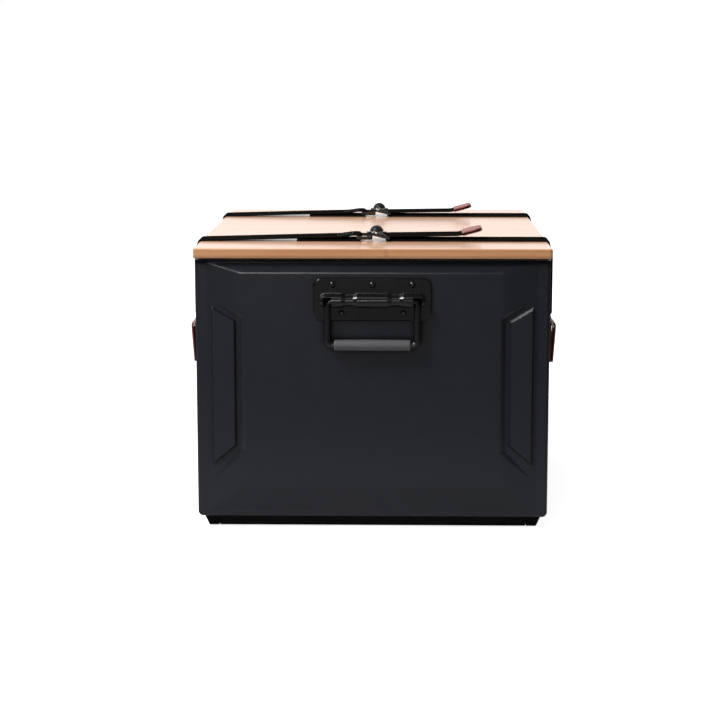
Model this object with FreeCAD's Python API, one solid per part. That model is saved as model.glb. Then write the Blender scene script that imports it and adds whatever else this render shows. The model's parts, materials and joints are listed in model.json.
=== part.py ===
import FreeCAD, Part
import math
import os

# Aluminium camping box with a bamboo lid, two straps and two chest handles.
# Millimetres. X runs across the box, Y from front to back, Z up.
# The origin is the middle of the footprint, on the ground.

V = FreeCAD.Vector
X_AXIS = V(1, 0, 0)
Y_AXIS = V(0, 1, 0)
Z_AXIS = V(0, 0, 1)

# Body of pressed sheet
BODY_W = 391.5          # across the side walls
BODY_D = 498.0          # between the flat margins of the two ends
BODY_H = 289.5          # from the underside to the top edge
SHEET = 1.5             # wall thickness
CORNER_R = 4.0          # outer bend of the upright corners
BASE_R = 6.0            # outer bend along the bottom edges
END_RETURN = 16.0       # how far an end panel runs round the corner
BASE_FLANGE = 28.0      # width of the side panels' bottom flange
SEAM_GAP = 0.3          # open line between end and side panels

# Raised field on each end, with bevels that meet in mitres
FIELD_RISE = 4.0
FIELD_SIDE = 50.0       # upright edges of the field from the side walls
FIELD_LOW = 35.0        # lower edge of the field above the underside
FIELD_TOP = 13.3        # upper edge of the field below the top edge
BEVEL_SIDE = 13.0       # outer edges of the bevels, measured the same way
BEVEL_LOW = 8.0
BEVEL_TOP = 2.5
RIDGE_R = 6.0           # rounding of the field's upper and lower ridge
RIDGE_SIDE_R = 60.0     # rounding of its upright ridges

# Bracket-shaped grooves with slanted ends that run out to nothing. Each holds a flat pad
# in its arms. Heights are those of the outer side of the floor, next to the pad.
GROOVE_W = 4.3          # floor of the upright run
GROOVE_DEPTH = 2.8      # at the outer side of the upright run
GROOVE_REACH = 25.0     # from the upright run to where the ends run out
GROOVE_UPPER = 66.7     # upper bend below the top edge
GROOVE_LOWER = 82.0     # lower bend above the underside
GROOVE_CLIMB = 14.8     # rise of the upper end over the reach
GROOVE_FALL = 20.3      # fall of the lower end over the reach
GROOVE_UPPER_MOUTH = 6.0   # height of the floor where the upper end runs out
GROOVE_LOWER_MOUTH = 16.0  # and where the lower end does
GROOVE_UPPER_BEND = 2.0    # inner side's upper bend above that of the outer side
GROOVE_LOWER_BEND = 5.0    # its lower bend below that of the outer side
GROOVE_RUN = 2.6        # run of a groove's walls over its depth
GROOVE_FIELD_RUN = 4.0  # the same on the side of the field
PAD_RUN = 2.0           # run of a pad's outermost wall
END_GROOVE_AT = 1.2     # inner side of the floor outside the edge of the raised field
SIDE_GROOVE_IN = 66.0   # the same on the side walls, from the end margin

# Inner frame
POST_LEG_X = 12.0
POST_LEG_Y = 28.0
POST_T = 2.0
RIM_T = 2.0
RIM_DROP = 20.0
RIM_SHELF = 14.0
GASKET_T = 2.5
GASKET_W = 9.0
FLOOR_T = 1.5

# Feet and the rails between them
FOOT_H = 13.0
FOOT_OUT_X = 6.5        # top outer edge, in from the side wall
FOOT_OUT_Y = 10.0       # top outer edge, in from the end margin
FOOT_W = 16.5
FOOT_L = 40.0
FOOT_TAPER = 5.0
FOOT_R = 2.0
FOOT_SCREW_R = 2.0
FOOT_HEAD_R = 3.4
FOOT_HEAD_H = 2.5
FOOT_RECESS_R = 4.2
FOOT_RECESS_H = 5.0
FOOT_SCREW_UP = 4.0     # thread that stands above the floor pan
RAIL_H = 12.0
RAIL_W = 12.0
RAIL_GAP = 0.5

# Lid
LID_OVER_X = 1.3        # lid beyond the side walls
LID_OVER_Y = 2.0        # lid beyond the raised fields
LID_T = 11.0
LID_CORNER_R = 3.0
LID_EDGE_R = 1.5
CLEAT_CLEAR = 5.5       # room between a cleat's end and the rim
CLEAT_W = 30.0
CLEAT_T = 12.0
CLEAT_OFFSET = 90.0     # each cleat from the middle
CLEAT_R = 3.0
CLEAT_SCREW_END = 24.0  # outer screws from a cleat's ends
CLEAT_SCREW_R = 1.75
CLEAT_SCREW_HEAD_R = 3.6
CLEAT_SCREW_HEAD_H = 2.4
CLEAT_SCREW_BITE = 6.0  # thread in the lid

# Chest handles
PLATE_W = 130.0
PLATE_H = 47.0
PLATE_T = 2.0
PLATE_R = 9.0
PLATE_EDGE = 1.2        # bevel round its front
PLATE_DOWN = 42.4       # centre of the plate below the top edge
PIVOT_DOWN = 0.9        # the bail's axis below that centre
BARREL_END = 8.0        # barrel beyond an arm's axis
BARREL_R = 7.8
BARREL_TAPER = 2.5      # how much thinner its ends are
BARREL_TAPER_L = 4.5
WAIST_R = 6.1
WAIST_AT = 25.5
WAIST_FLAT = 8.5        # narrowest stretch
WAIST_SLOPE = 4.4       # run from full size to the waist
ROD_CLEAR = 0.45        # room between an arm and the plate behind it
ROD_R = 3.75
BAIL_SPAN = 99.0        # between the arms' axes
BAIL_DROP = 49.0        # from the pivot to the grip
GRIP_CLEAR = 0.75       # room between the hanging grip and the panel
PINTLE_IN = 29.5        # from an arm's axis to the end of its pintle
PIVOT_BEND_R = 5.5
GRIP_BEND_R = 6.0
ARM_CLEAR = 1.0         # room beside an arm in its slot
GRIP_END = 1.5          # bare rod between the grip and a bend
GRIP_R = 6.2
GRIP_EDGE_R = 1.4
RIVET_R = 2.0
RIVET_HEAD_R = 3.6
RIVET_HEAD_H = 1.8
RIVET_TAIL_R = 3.0
RIVET_TAIL_H = 1.5
UPPER_RIVET_AT = 44.0
UPPER_RIVET_UP = 16.3   # above the plate's centre
LOWER_RIVET_AT = 34.0
LOWER_RIVET_DOWN = 15.1
BACKING_MARGIN = 2.0
BACKING_T = 2.0

# Straps
STRAP_IN = 91.0         # middle of a strap from the end margin
STRAP_W = 38.0
STRAP_T = 2.0
STRAP_EDGE_R = 3.0      # bend over the lid's edge, at mid thickness
STRAP_FLARE = 16.0      # below the lid's top, where it hangs straight down
STRAP_DROP = 80.0       # from the lid's top to the hook's bar
STRAP_OUT = 4.3         # hook's bar from the side wall
BAR_R = 1.25
LOOP_SEWN = 24.0        # length turned back at a hook
RING_BAR_R = 1.9
RING_LOOP_X = -17.5     # bar of the ring in the left half's loop
RING_TIP_X = -3.0       # bar of the ring that the buckle takes
RING_FULL = 6.0         # loop at full height up to here behind the ring's bar
RING_SEWN = 20.0        # and swollen up to here
RING_RISE = 4.2         # left half above its lying height where the swelling ends
RING_FREE = 69.5        # length of the turned-back end below it
BUCKLE_BAR_X = 17.0
TAIL_BEND_X = 97.0      # where the loose tail turns up
TAIL_RISE = 1.2         # height it gains before that
TAIL_END = 12.0         # its webbing beyond the turn
TAIL_ANGLE = 15.0
WEB_BEND_R = 20.0       # gentle bends of the webbing
TIP_START = 4.0         # leather on the tail, measured from the turn
TIP_END = 27.0
TIP_LEAF = 1.1          # leather above and below the webbing
TIP_MARGIN = 0.5        # webbing beside the leather
TIP_CORNER_R = 8.0

# Buckle that the right half carries
BUCKLE_T = 2.4
BUCKLE_ARM_W = 2.5
BUCKLE_CLEAR = 2.55     # room between the loop and the plate
WING_X = 1.0            # where its side wings end
TONGUE_W = 12.0
TONGUE_DOWN = 4.2
KNOB_X = 3.5
KNOB_R = 7.9
KNOB_H = 6.6
COLLAR_R = 11.3
COLLAR_H = 1.4

# Hook plates, catches and pulls at the side walls
HOOK_T = 1.6
HOOK_ARM_W = 2.5
HOOK_CLEAR = 1.45       # room between the loop and the plate
HOOK_DROP = 16.0        # lower bar below the upper bar
HOOK_KICK = 5.0         # lower bar further out than the upper bar
TOE_DOWN = 10.0         # toe below the upper bar
TOE_GAP = 0.5           # toe from the catch's lip
TOE_ROOT = 1.0          # thickness of the toe where it leaves the plate
CATCH_W = 30.0
CATCH_T = 1.0
CATCH_H = 26.0
CATCH_REACH = 3.2
CATCH_LIP = 4.5
CATCH_CLEAR = 3.0       # room between the loop and the catch below it
CATCH_RIVET_UP = 8.0
CATCH_RIVET_SPACING = 16.0
PULL_W = 30.0
PULL_T = 2.2
PULL_L = 42.5
PULL_TUCK = 1.5         # pull's lower end further in than its bar
PULL_BEND_R = 8.0

# Fits
FIT = 0.05              # radial room of a shank in its hole
REST = 0.3              # room between webbing and what it lies on
LOOP_FIT = 0.2          # room between a bar and its loop

BASE_Z = FOOT_H
TOP_Z = BASE_Z + BODY_H
LID_Z = TOP_Z + GASKET_T
LID_TOP = LID_Z + LID_T
SIDE_X = BODY_W / 2
END_Y = BODY_D / 2
FACE_Y = END_Y + FIELD_RISE
PLATE_Z = TOP_Z - PLATE_DOWN
PIVOT_Z = PLATE_Z - PIVOT_DOWN
FIELD_W = BODY_W - 2 * FIELD_SIDE
BEVEL_W = BODY_W - 2 * BEVEL_SIDE
LID_W = BODY_W + 2 * LID_OVER_X
LID_D = 2 * (FACE_Y + LID_OVER_Y)
CLEAT_L = BODY_W - 2 * (SHEET + RIM_SHELF + CLEAT_CLEAR)
BARREL_L = BAIL_SPAN + 2 * BARREL_END
PIVOT_OUT = PLATE_T + ROD_CLEAR + ROD_R
BAIL_LEAN = GRIP_R + GRIP_CLEAR - PIVOT_OUT
GRIP_L = BAIL_SPAN - 2 * (GRIP_BEND_R + GRIP_END)
STRAP_AT = END_Y - STRAP_IN
LOOP_R = BAR_R + LOOP_FIT + STRAP_T / 2
RING_LOOP_R = RING_BAR_R + LOOP_FIT + STRAP_T / 2
LOOP_OUTER_R = LOOP_R + STRAP_T / 2
WEB_Z = LID_TOP + REST + STRAP_T / 2
BAR_X = SIDE_X + STRAP_OUT
BAR_Z = LID_TOP - STRAP_DROP
CATCH_Z = BAR_Z - LOOP_OUTER_R - CATCH_CLEAR


def block(x0, x1, y0, y1, z0, z1):
    return Part.makeBox(x1 - x0, y1 - y0, z1 - z0, V(x0, y0, z0))


def rod(radius, start, end):
    return Part.makeCylinder(radius, (end - start).Length, start, end - start)


def prism(points, depth):
    wire = Part.makePolygon(points + points[:1])
    return Part.Face(wire).extrude(depth)


def join(first, *others):
    return first.fuse(list(others)).removeSplitter()


def mirror_x(shape):
    return shape.mirror(V(0, 0, 0), X_AXIS)


def mirror_y(shape):
    return shape.mirror(V(0, 0, 0), Y_AXIS)


def turn_round(shape):
    turned = shape.copy()
    turned.rotate(V(0, 0, 0), Z_AXIS, 180)
    return turned


def moved(shape, offset):
    copy = shape.copy()
    copy.translate(offset)
    return copy


def edges_along(shape, axis, test):
    """Straight edges parallel to an axis whose middle passes the test."""
    found = []
    for edge in shape.Edges:
        if not isinstance(edge.Curve, Part.Line):
            continue
        run = edge.lastVertex().Point - edge.firstVertex().Point
        if abs(run.dot(axis)) > 0.999 * run.Length and test(edge.CenterOfMass):
            found.append(edge)
    return found


def dome(radius, height):
    """Round cap standing on the XY plane."""
    sphere = (radius ** 2 + height ** 2) / (2 * height)
    half = math.asin(min(1.0, radius / sphere)) / 2
    middle = V(sphere * math.sin(half), 0, height - sphere + sphere * math.cos(half))
    rim = V(radius, 0, 0)
    crown = V(0, 0, height)
    base = Part.LineSegment(V(0, 0, 0), rim).toShape()
    curve = Part.Arc(rim, middle, crown).toShape()
    axis = Part.LineSegment(crown, V(0, 0, 0)).toShape()
    return Part.Face(Part.Wire([base, curve, axis])).revolve(V(0, 0, 0), Z_AXIS, 360)


def aimed(shape, place, direction):
    """Shape made along +Z, put at a place and pointed in a direction."""
    put = shape.copy()
    put.Placement = FreeCAD.Placement(place, FreeCAD.Rotation(Z_AXIS, direction))
    return put


def rivet(grip, place, outward):
    """Domed rivet through a stack as thick as its grip."""
    head = dome(RIVET_HEAD_R, RIVET_HEAD_H)
    shank = Part.makeCylinder(RIVET_R, grip, V(0, 0, -grip))
    tail = Part.makeCylinder(RIVET_TAIL_R, RIVET_TAIL_H, V(0, 0, -grip - RIVET_TAIL_H))
    return aimed(join(head, shank, tail), place, outward)


def ribbon(points, radii, thick, width, y_mid):
    """Flat band through points in the XZ plane, with a bend of the given radius at each
    inner point."""
    sides = []
    for side in (1, -1):
        edges = []
        here = None
        for i in range(len(points) - 1):
            run = (points[i + 1] - points[i]).normalize()
            normal = V(-run.z, 0, run.x) * (side * thick / 2)
            start = points[i] + normal if here is None else here
            if i == len(points) - 2:
                edges.append((start, None, points[i + 1] + normal))
                break
            after = (points[i + 2] - points[i + 1]).normalize()
            turn = math.atan2(run.x * after.z - run.z * after.x, run.dot(after))
            reach = radii[i] * math.tan(abs(turn) / 2)
            left = math.copysign(1, turn)
            centre = points[i + 1] - run * reach + V(-run.z, 0, run.x) * (left * radii[i])
            radius = radii[i] - left * side * thick / 2
            bend_in = points[i + 1] - run * reach + normal
            after_normal = V(-after.z, 0, after.x) * (side * thick / 2)
            bend_out = points[i + 1] + after * reach + after_normal
            towards = (bend_in + bend_out) * 0.5 - centre
            middle = centre + towards.normalize() * radius
            edges.append((start, None, bend_in))
            edges.append((bend_in, middle, bend_out))
            here = bend_out
        sides.append(edges)
    upper, lower = sides
    outline = list(upper)
    outline.append((upper[-1][2], None, lower[-1][2]))
    for start, middle, end in reversed(lower):
        outline.append((end, middle, start))
    outline.append((lower[0][0], None, upper[0][0]))
    shapes = []
    for start, middle, end in outline:
        if (end - start).Length < 1e-6:
            continue
        if middle is None:
            shapes.append(Part.LineSegment(start, end).toShape())
        else:
            shapes.append(Part.Arc(start, middle, end).toShape())
    face = Part.Face(Part.Wire(shapes))
    face.translate(V(0, y_mid - width / 2, 0))
    return face.extrude(V(0, width, 0))


# Pressed body

def shifted(path, distance):
    """Path of (u, z) points moved sideways, to the left where the distance is positive."""
    headings = [math.atan2(end[1] - start[1], end[0] - start[0]) for start, end in zip(path, path[1:])]
    moved_path = []
    for i, (u, z) in enumerate(path):
        into = headings[max(i - 1, 0)]
        out = headings[min(i, len(headings) - 1)]
        mean = (into + out) / 2
        reach = distance / math.cos((out - into) / 2)
        moved_path.append((u - reach * math.sin(mean), z + reach * math.cos(mean)))
    return moved_path


def stretched(path, length):
    """Path with both ends drawn out by a length."""
    ends = []
    for tip, inner in ((path[0], path[1]), (path[-1], path[-2])):
        span = math.dist(tip, inner)
        ends.append(tuple(t + (t - n) * length / span for t, n in zip(tip, inner)))
    return [ends[0]] + path[1:-1] + [ends[1]]


def wall_shift(run, rise, inset):
    """How far a sloped wall moves sideways, for a sheet as thick there as the inset."""
    lean = math.atan2(run, rise)
    return inset * (1 - math.sin(lean)) / math.cos(lean)


def groove_sides():
    """Outer and inner side of a groove's floor, as (u, z) points from top to bottom."""
    upper = TOP_Z - GROOVE_UPPER
    lower = BASE_Z + GROOVE_LOWER
    far = GROOVE_W + GROOVE_REACH
    outer = [(far, upper + GROOVE_CLIMB), (GROOVE_W, upper), (GROOVE_W, lower), (far, lower - GROOVE_FALL)]
    inner = [(far, upper + GROOVE_CLIMB + GROOVE_UPPER_MOUTH), (0, upper + GROOVE_UPPER_BEND),
             (0, lower - GROOVE_LOWER_BEND), (far, lower - GROOVE_FALL - GROOVE_LOWER_MOUTH)]
    return outer, inner


def groove(corner, along, outward, inset):
    """Cutter of one bracket groove, whose floor rises along the wall until it runs out.
    The corner is the inner side of the floor. An inset widens it by the sheet round it."""
    outer, inner = groove_sides()
    ramp = math.atan2(GROOVE_DEPTH, GROOVE_REACH)
    floor_along = along * math.cos(ramp) + outward * math.sin(ramp)
    floor_up = outward * math.cos(ramp) - along * math.sin(ramp)
    floor = corner - outward * (GROOVE_DEPTH + GROOVE_W * math.tan(ramp))
    wires = []
    for height in (0, 2 * GROOVE_DEPTH):
        outline = []
        for path, run in ((outer, GROOVE_RUN), (inner[::-1], GROOVE_FIELD_RUN)):
            spread = wall_shift(run, GROOVE_DEPTH, inset) + run * height / GROOVE_DEPTH
            outline += shifted(stretched(path, GROOVE_REACH), spread)
        points = [floor + floor_along * u + Z_AXIS * z + floor_up * height for u, z in outline]
        wires.append(Part.makePolygon(points + points[:1]))
    return Part.makeLoft(wires, True, True)


def end_pad(slope, inset):
    """Flat pad in the arms of the right groove on the front end, parallel to the field. It
    stands as high as the bevel at the groove's outer wall."""
    upper_tip, upper_bend, lower_bend, lower_tip = groove_sides()[0]
    start = FIELD_W / 2 + END_GROOVE_AT
    sunk = (END_GROOVE_AT + GROOVE_W + GROOVE_RUN) * math.tan(slope)
    shift = wall_shift(PAD_RUN, FIELD_RISE - sunk, inset)
    wires = []
    for run, y in ((PAD_RUN, -END_Y), (0, -FACE_Y + sunk)):
        more = (run - shift) / GROOVE_REACH
        outline = [(upper_tip[0] + run - shift, upper_tip[1] + GROOVE_CLIMB * more), upper_bend, lower_bend,
                   (lower_tip[0] + run - shift, lower_tip[1] - GROOVE_FALL * more)]
        points = [V(start + u, y, z) for u, z in outline]
        wires.append(Part.makePolygon(points + points[:1]))
    return Part.makeLoft(wires, True, True)


def end_relief(inset):
    """Raised field of the front end and the cutters of its two grooves, moved in by an inset."""
    def corners(width, low, high, y):
        half = width / 2
        return [V(-half, y, low), V(half, y, low), V(half, y, high), V(-half, y, high)]

    outer = corners(BEVEL_W, BASE_Z + BEVEL_LOW, TOP_Z - BEVEL_TOP, -END_Y)
    inner = corners(FIELD_W, BASE_Z + FIELD_LOW, TOP_Z - FIELD_TOP, -FACE_Y)
    wires = [Part.makePolygon(ring + ring[:1]) for ring in (outer, inner)]
    field = Part.makeLoft(wires, True, True)
    for axis, radius in ((Z_AXIS, RIDGE_SIDE_R), (X_AXIS, RIDGE_R)):
        ridge = edges_along(field, axis, lambda p: abs(p.y + FACE_Y) < 1e-6)
        field = field.makeFillet(radius, ridge)

    slope = math.atan2(FIELD_RISE, (BEVEL_W - FIELD_W) / 2)
    along = V(math.cos(slope), math.sin(slope), 0)
    outward = V(math.sin(slope), -math.cos(slope), 0)
    right = groove(V(FIELD_W / 2, -FACE_Y, 0) + along * END_GROOVE_AT, along, outward, inset)
    pad = end_pad(slope, inset)
    field = field.fuse([pad, mirror_x(pad)])
    return [moved(piece, V(0, inset, 0)) for piece in (field, right, mirror_x(right))]


def side_grooves(inset):
    """Cutters of the grooves on the right wall, moved in by an inset."""
    back = groove(V(SIDE_X - inset, END_Y - SIDE_GROOVE_IN, 0), Y_AXIS, X_AXIS, inset)
    return [back, mirror_y(back)]


def body_form(inset):
    """Outer surface of the pressed body as a solid, or its inner surface at an inset."""
    low = BASE_Z + inset
    half_w = SIDE_X - inset
    half_d = END_Y - inset
    high = TOP_Z + (SHEET if inset else 0)
    form = block(-half_w, half_w, -half_d, half_d, low, high)
    form = form.makeFillet(CORNER_R - inset, edges_along(form, Z_AXIS, lambda p: True))
    bottom = [e for e in form.Edges if abs(e.BoundBox.ZMax - low) < 1e-6]
    form = form.makeFillet(BASE_R - inset, bottom)

    front, *front_cuts = end_relief(inset)
    right_cuts = side_grooves(inset)
    form = form.fuse([front, turn_round(front)])
    cuts = front_cuts + [turn_round(cut) for cut in front_cuts]
    cuts += right_cuts + [mirror_x(cut) for cut in right_cuts]
    return form.cut(cuts)


def body_panels():
    shell = body_form(0).cut(body_form(SHEET))
    seam = END_Y - END_RETURN
    far = BODY_D + BODY_W
    front = shell.common(block(-far, far, -far, -seam, 0, far))
    left = shell.common(block(-far, BASE_FLANGE - SIDE_X, SEAM_GAP - seam, seam - SEAM_GAP, 0, far))
    return front, left


def handle_rivet_places():
    """Rivet centres on the front end, as (x, z)."""
    upper = PLATE_Z + UPPER_RIVET_UP
    lower = PLATE_Z - LOWER_RIVET_DOWN
    places = [(x, upper) for x in (-UPPER_RIVET_AT, 0, UPPER_RIVET_AT)]
    return places + [(x, lower) for x in (-LOWER_RIVET_AT, LOWER_RIVET_AT)]


def catch_rivet_places():
    """Rivet centres on a side wall, as (y, z)."""
    low = CATCH_Z - CATCH_H + CATCH_RIVET_UP
    places = []
    for middle in (-STRAP_AT, STRAP_AT):
        for side in (-0.5, 0.5):
            places.append((middle + side * CATCH_RIVET_SPACING, low))
    return places


def foot_middle():
    """Middle of the right rear foot's underside, where its screw goes up."""
    x1 = SIDE_X - FOOT_OUT_X
    y1 = END_Y - FOOT_OUT_Y
    return V(x1 - (FOOT_W + FOOT_TAPER) / 2, y1 - (FOOT_L + FOOT_TAPER) / 2, 0)


def four_corners(point):
    return [V(sx * point.x, sy * point.y, point.z) for sx in (-1, 1) for sy in (-1, 1)]


def drilled_end(panel):
    holes = []
    for x, z in handle_rivet_places():
        holes.append(rod(RIVET_R + FIT, V(x, -FACE_Y - SHEET, z), V(x, -END_Y + BACKING_T + SHEET, z)))
    return panel.cut(holes)


def drilled_side(panel):
    holes = []
    for y, z in catch_rivet_places():
        holes.append(rod(RIVET_R + FIT, V(-SIDE_X - SHEET, y, z), V(-SIDE_X + 2 * SHEET, y, z)))
    for place in four_corners(foot_middle()):
        holes.append(rod(FOOT_SCREW_R + FIT, place, place + Z_AXIS * (BASE_Z + 2 * SHEET)))
    return panel.cut(holes)


def floor_pan():
    z0 = BASE_Z + SHEET
    half_w = SIDE_X - BASE_R
    half_d = END_Y - BASE_R
    pan = block(-half_w, half_w, -half_d, half_d, z0, z0 + FLOOR_T)
    pan = pan.makeFillet(CORNER_R, edges_along(pan, Z_AXIS, lambda p: True))
    holes = []
    for place in four_corners(foot_middle()):
        holes.append(rod(FOOT_SCREW_R + FIT, place, place + Z_AXIS * (z0 + 2 * FLOOR_T)))
    return pan.cut(holes)


def corner_posts():
    """Angles behind the seams, one in each upright corner."""
    x = SIDE_X - SHEET
    y = END_Y - SHEET
    z0 = BASE_Z + SHEET + FLOOR_T
    z1 = TOP_Z - RIM_DROP
    leg_x = block(x - POST_LEG_X, x, y - POST_T, y, z0, z1)
    leg_y = block(x - POST_T, x, y - POST_LEG_Y, y, z0, z1)
    post = join(leg_x, leg_y)
    outer = edges_along(post, Z_AXIS, lambda p: p.x > x - 0.1 and p.y > y - 0.1)
    post = post.makeFillet(CORNER_R - SHEET, outer)
    tall = BASE_R - SHEET - FLOOR_T
    keep = block(0, x - tall, 0, y - tall, z0, z1)
    keep = join(keep, block(0, x, 0, y, z0 + tall, z1))
    post = post.common(keep)
    return Part.Compound([post, mirror_x(post), mirror_y(post), mirror_x(mirror_y(post))])


def mitred_rail(length, depth, profile):
    """Rail along X whose ends are cut at 45 degrees. The profile holds (in, z) points,
    measured inwards from the outer face at y = -depth / 2."""
    points = [V(-length, inward - depth / 2, z) for inward, z in profile]
    rail = prism(points, V(2 * length, 0, 0))
    wedge = [V(0, -depth / 2 + length / 2, -1), V(length, -depth / 2 - length / 2, -1),
             V(-length, -depth / 2 - length / 2, -1)]
    return rail.common(prism(wedge, V(0, 0, 2 * TOP_Z)))


def ring_of_rails(width, depth, profile):
    front = mitred_rail(width, depth, profile)
    side = mitred_rail(depth, width, profile)
    side.rotate(V(0, 0, 0), Z_AXIS, -90)
    return Part.Compound([front, turn_round(front), side, turn_round(side)])


def rim_frame():
    profile = [(0, TOP_Z - RIM_DROP), (RIM_T, TOP_Z - RIM_DROP), (RIM_T, TOP_Z - RIM_T),
               (RIM_SHELF, TOP_Z - RIM_T), (RIM_SHELF, TOP_Z), (0, TOP_Z)]
    rails = ring_of_rails(BODY_W - 2 * SHEET, BODY_D - 2 * SHEET, profile)
    room = body_form(SHEET)
    return Part.Compound([rail.common(room) for rail in rails.Solids])


def rim_gasket():
    start = (RIM_SHELF - GASKET_W) / 2
    profile = [(start, TOP_Z), (start + GASKET_W, TOP_Z), (start + GASKET_W, LID_Z), (start, LID_Z)]
    return ring_of_rails(BODY_W - 2 * SHEET, BODY_D - 2 * SHEET, profile)


# Feet

def foot():
    """Right rear foot, with slanted outer sides and a recess for its screw."""
    x1 = SIDE_X - FOOT_OUT_X
    y1 = END_Y - FOOT_OUT_Y
    x0 = x1 - FOOT_W
    y0 = y1 - FOOT_L
    wires = []
    for taper, z in ((FOOT_TAPER, 0), (0, FOOT_H)):
        ring = [V(x0, y0, z), V(x1 - taper, y0, z), V(x1 - taper, y1 - taper, z), V(x0, y1 - taper, z)]
        wires.append(Part.makePolygon(ring + ring[:1]))
    pad = Part.makeLoft(wires, True, True)
    under = [e for e in pad.Edges if abs(e.BoundBox.ZMax) < 1e-6]
    pad = pad.makeFillet(FOOT_R, under)
    place = foot_middle()
    recess = rod(FOOT_RECESS_R, place, place + Z_AXIS * FOOT_RECESS_H)
    hole = rod(FOOT_SCREW_R + FIT, place, place + Z_AXIS * 2 * FOOT_H)
    return pad.cut([recess, hole])


def foot_screws():
    screws = []
    for place in four_corners(foot_middle()):
        seat = place + Z_AXIS * FOOT_RECESS_H
        top = place + Z_AXIS * (BASE_Z + SHEET + FLOOR_T + FOOT_SCREW_UP)
        head = aimed(dome(FOOT_HEAD_R, FOOT_HEAD_H), seat, -Z_AXIS)
        screws.append(join(head, rod(FOOT_SCREW_R, seat, top)))
    return Part.Compound(screws)


def plinth_rails():
    x1 = SIDE_X - FOOT_OUT_X - FOOT_TAPER / 2
    y1 = END_Y - FOOT_OUT_Y - FOOT_TAPER / 2
    end_half = SIDE_X - FOOT_OUT_X - FOOT_W - RAIL_GAP
    side_half = END_Y - FOOT_OUT_Y - FOOT_L - RAIL_GAP
    z0 = FOOT_H - RAIL_H
    front = block(-end_half, end_half, -y1, RAIL_W - y1, z0, FOOT_H)
    left = block(-x1, RAIL_W - x1, -side_half, side_half, z0, FOOT_H)
    return Part.Compound([front, turn_round(front), left, turn_round(left)])


# Lid

def cleat_screw_places():
    reach = CLEAT_L / 2 - CLEAT_SCREW_END
    places = []
    for y in (-CLEAT_OFFSET, CLEAT_OFFSET):
        for x in (-reach, 0, reach):
            places.append(V(x, y, LID_Z - CLEAT_T))
    return places


def cleat_screw(place, room):
    """Countersunk screw pointing up, or with room the hole that it goes in."""
    radius = CLEAT_SCREW_R + room
    head = Part.makeCone(CLEAT_SCREW_HEAD_R + room, radius, CLEAT_SCREW_HEAD_H, place)
    top = place + Z_AXIS * (CLEAT_T + CLEAT_SCREW_BITE + room)
    return join(head, rod(radius, place, top))


def lid_board():
    board = block(-LID_W / 2, LID_W / 2, -LID_D / 2, LID_D / 2, LID_Z, LID_TOP)
    board = board.makeFillet(LID_CORNER_R, edges_along(board, Z_AXIS, lambda p: True))
    rims = [e for e in board.Edges if e.BoundBox.ZLength < 1e-6]
    board = board.makeFillet(LID_EDGE_R, rims)
    return board.cut([cleat_screw(place, FIT) for place in cleat_screw_places()])


def lid_cleats():
    cleats = []
    for y in (-CLEAT_OFFSET, CLEAT_OFFSET):
        cleat = block(-CLEAT_L / 2, CLEAT_L / 2, y - CLEAT_W / 2, y + CLEAT_W / 2, LID_Z - CLEAT_T, LID_Z)
        low = [e for e in cleat.Edges if abs(e.BoundBox.ZMax - LID_Z + CLEAT_T) < 1e-6]
        cleat = cleat.makeFillet(CLEAT_R, low)
        cleats.append(cleat.cut([cleat_screw(place, FIT) for place in cleat_screw_places()]))
    return Part.Compound(cleats)


def lid_cleat_screws():
    return Part.Compound([cleat_screw(place, 0) for place in cleat_screw_places()])


# Chest handle on the front end

def barrel_form(shrink):
    """Rolled barrel with drawn-in ends and two crimped waists: a turned form, drawn back to
    the plate."""
    half = BARREL_L / 2
    profile = [(-half + shrink, BARREL_R - BARREL_TAPER), (-half + BARREL_TAPER_L, BARREL_R)]
    for middle in (-WAIST_AT, WAIST_AT):
        flat = WAIST_FLAT / 2
        profile += [(middle - flat - WAIST_SLOPE, BARREL_R), (middle - flat, WAIST_R),
                    (middle + flat, WAIST_R), (middle + flat + WAIST_SLOPE, BARREL_R)]
    profile += [(half - BARREL_TAPER_L, BARREL_R), (half - shrink, BARREL_R - BARREL_TAPER)]
    axis_y = -FACE_Y - PIVOT_OUT
    points = [V(x, axis_y, PIVOT_Z + radius - shrink) for x, radius in profile]
    points += [V(half - shrink, axis_y, PIVOT_Z), V(-half + shrink, axis_y, PIVOT_Z)]
    face = Part.Face(Part.makePolygon(points + points[:1]))
    turned = face.revolve(V(0, axis_y, PIVOT_Z), X_AXIS, 360)
    outline = [V(p.x, axis_y, p.z) for p in points[:-2]]
    outline += [V(p.x, axis_y, 2 * PIVOT_Z - p.z) for p in reversed(points[:-2])]
    neck = prism(outline, V(0, PIVOT_OUT, 0))
    return turned.fuse(neck)


def rounded_plate(width, height, radius, y0, y1):
    low = PLATE_Z - height / 2
    plate = block(-width / 2, width / 2, y0, y1, low, low + height)
    return plate.makeFillet(radius, edges_along(plate, Y_AXIS, lambda p: True))


def handle_plate():
    front_y = -FACE_Y - PLATE_T
    plate = rounded_plate(PLATE_W, PLATE_H, PLATE_R, front_y, -FACE_Y)
    plate = plate.makeChamfer(PLATE_EDGE, [e for e in plate.Edges if e.BoundBox.YMax < front_y + 1e-6])
    front = block(-PLATE_W, PLATE_W, -2 * FACE_Y, -FACE_Y, 0, 2 * TOP_Z)
    plate = plate.fuse(barrel_form(0).common(front)).cut(barrel_form(PLATE_T))
    cuts = []
    for side in (-1, 1):
        arm = side * BAIL_SPAN / 2
        half = ROD_R + ARM_CLEAR
        cuts.append(block(arm - half, arm + half, -2 * FACE_Y, front_y,
                          PIVOT_Z - 2 * BARREL_R, PIVOT_Z + ROD_R + ROD_CLEAR))
    for x, z in handle_rivet_places():
        cuts.append(rod(RIVET_R + FIT, V(x, -FACE_Y - 2 * PLATE_T, z), V(x, -END_Y, z)))
    return plate.cut(cuts)


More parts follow.
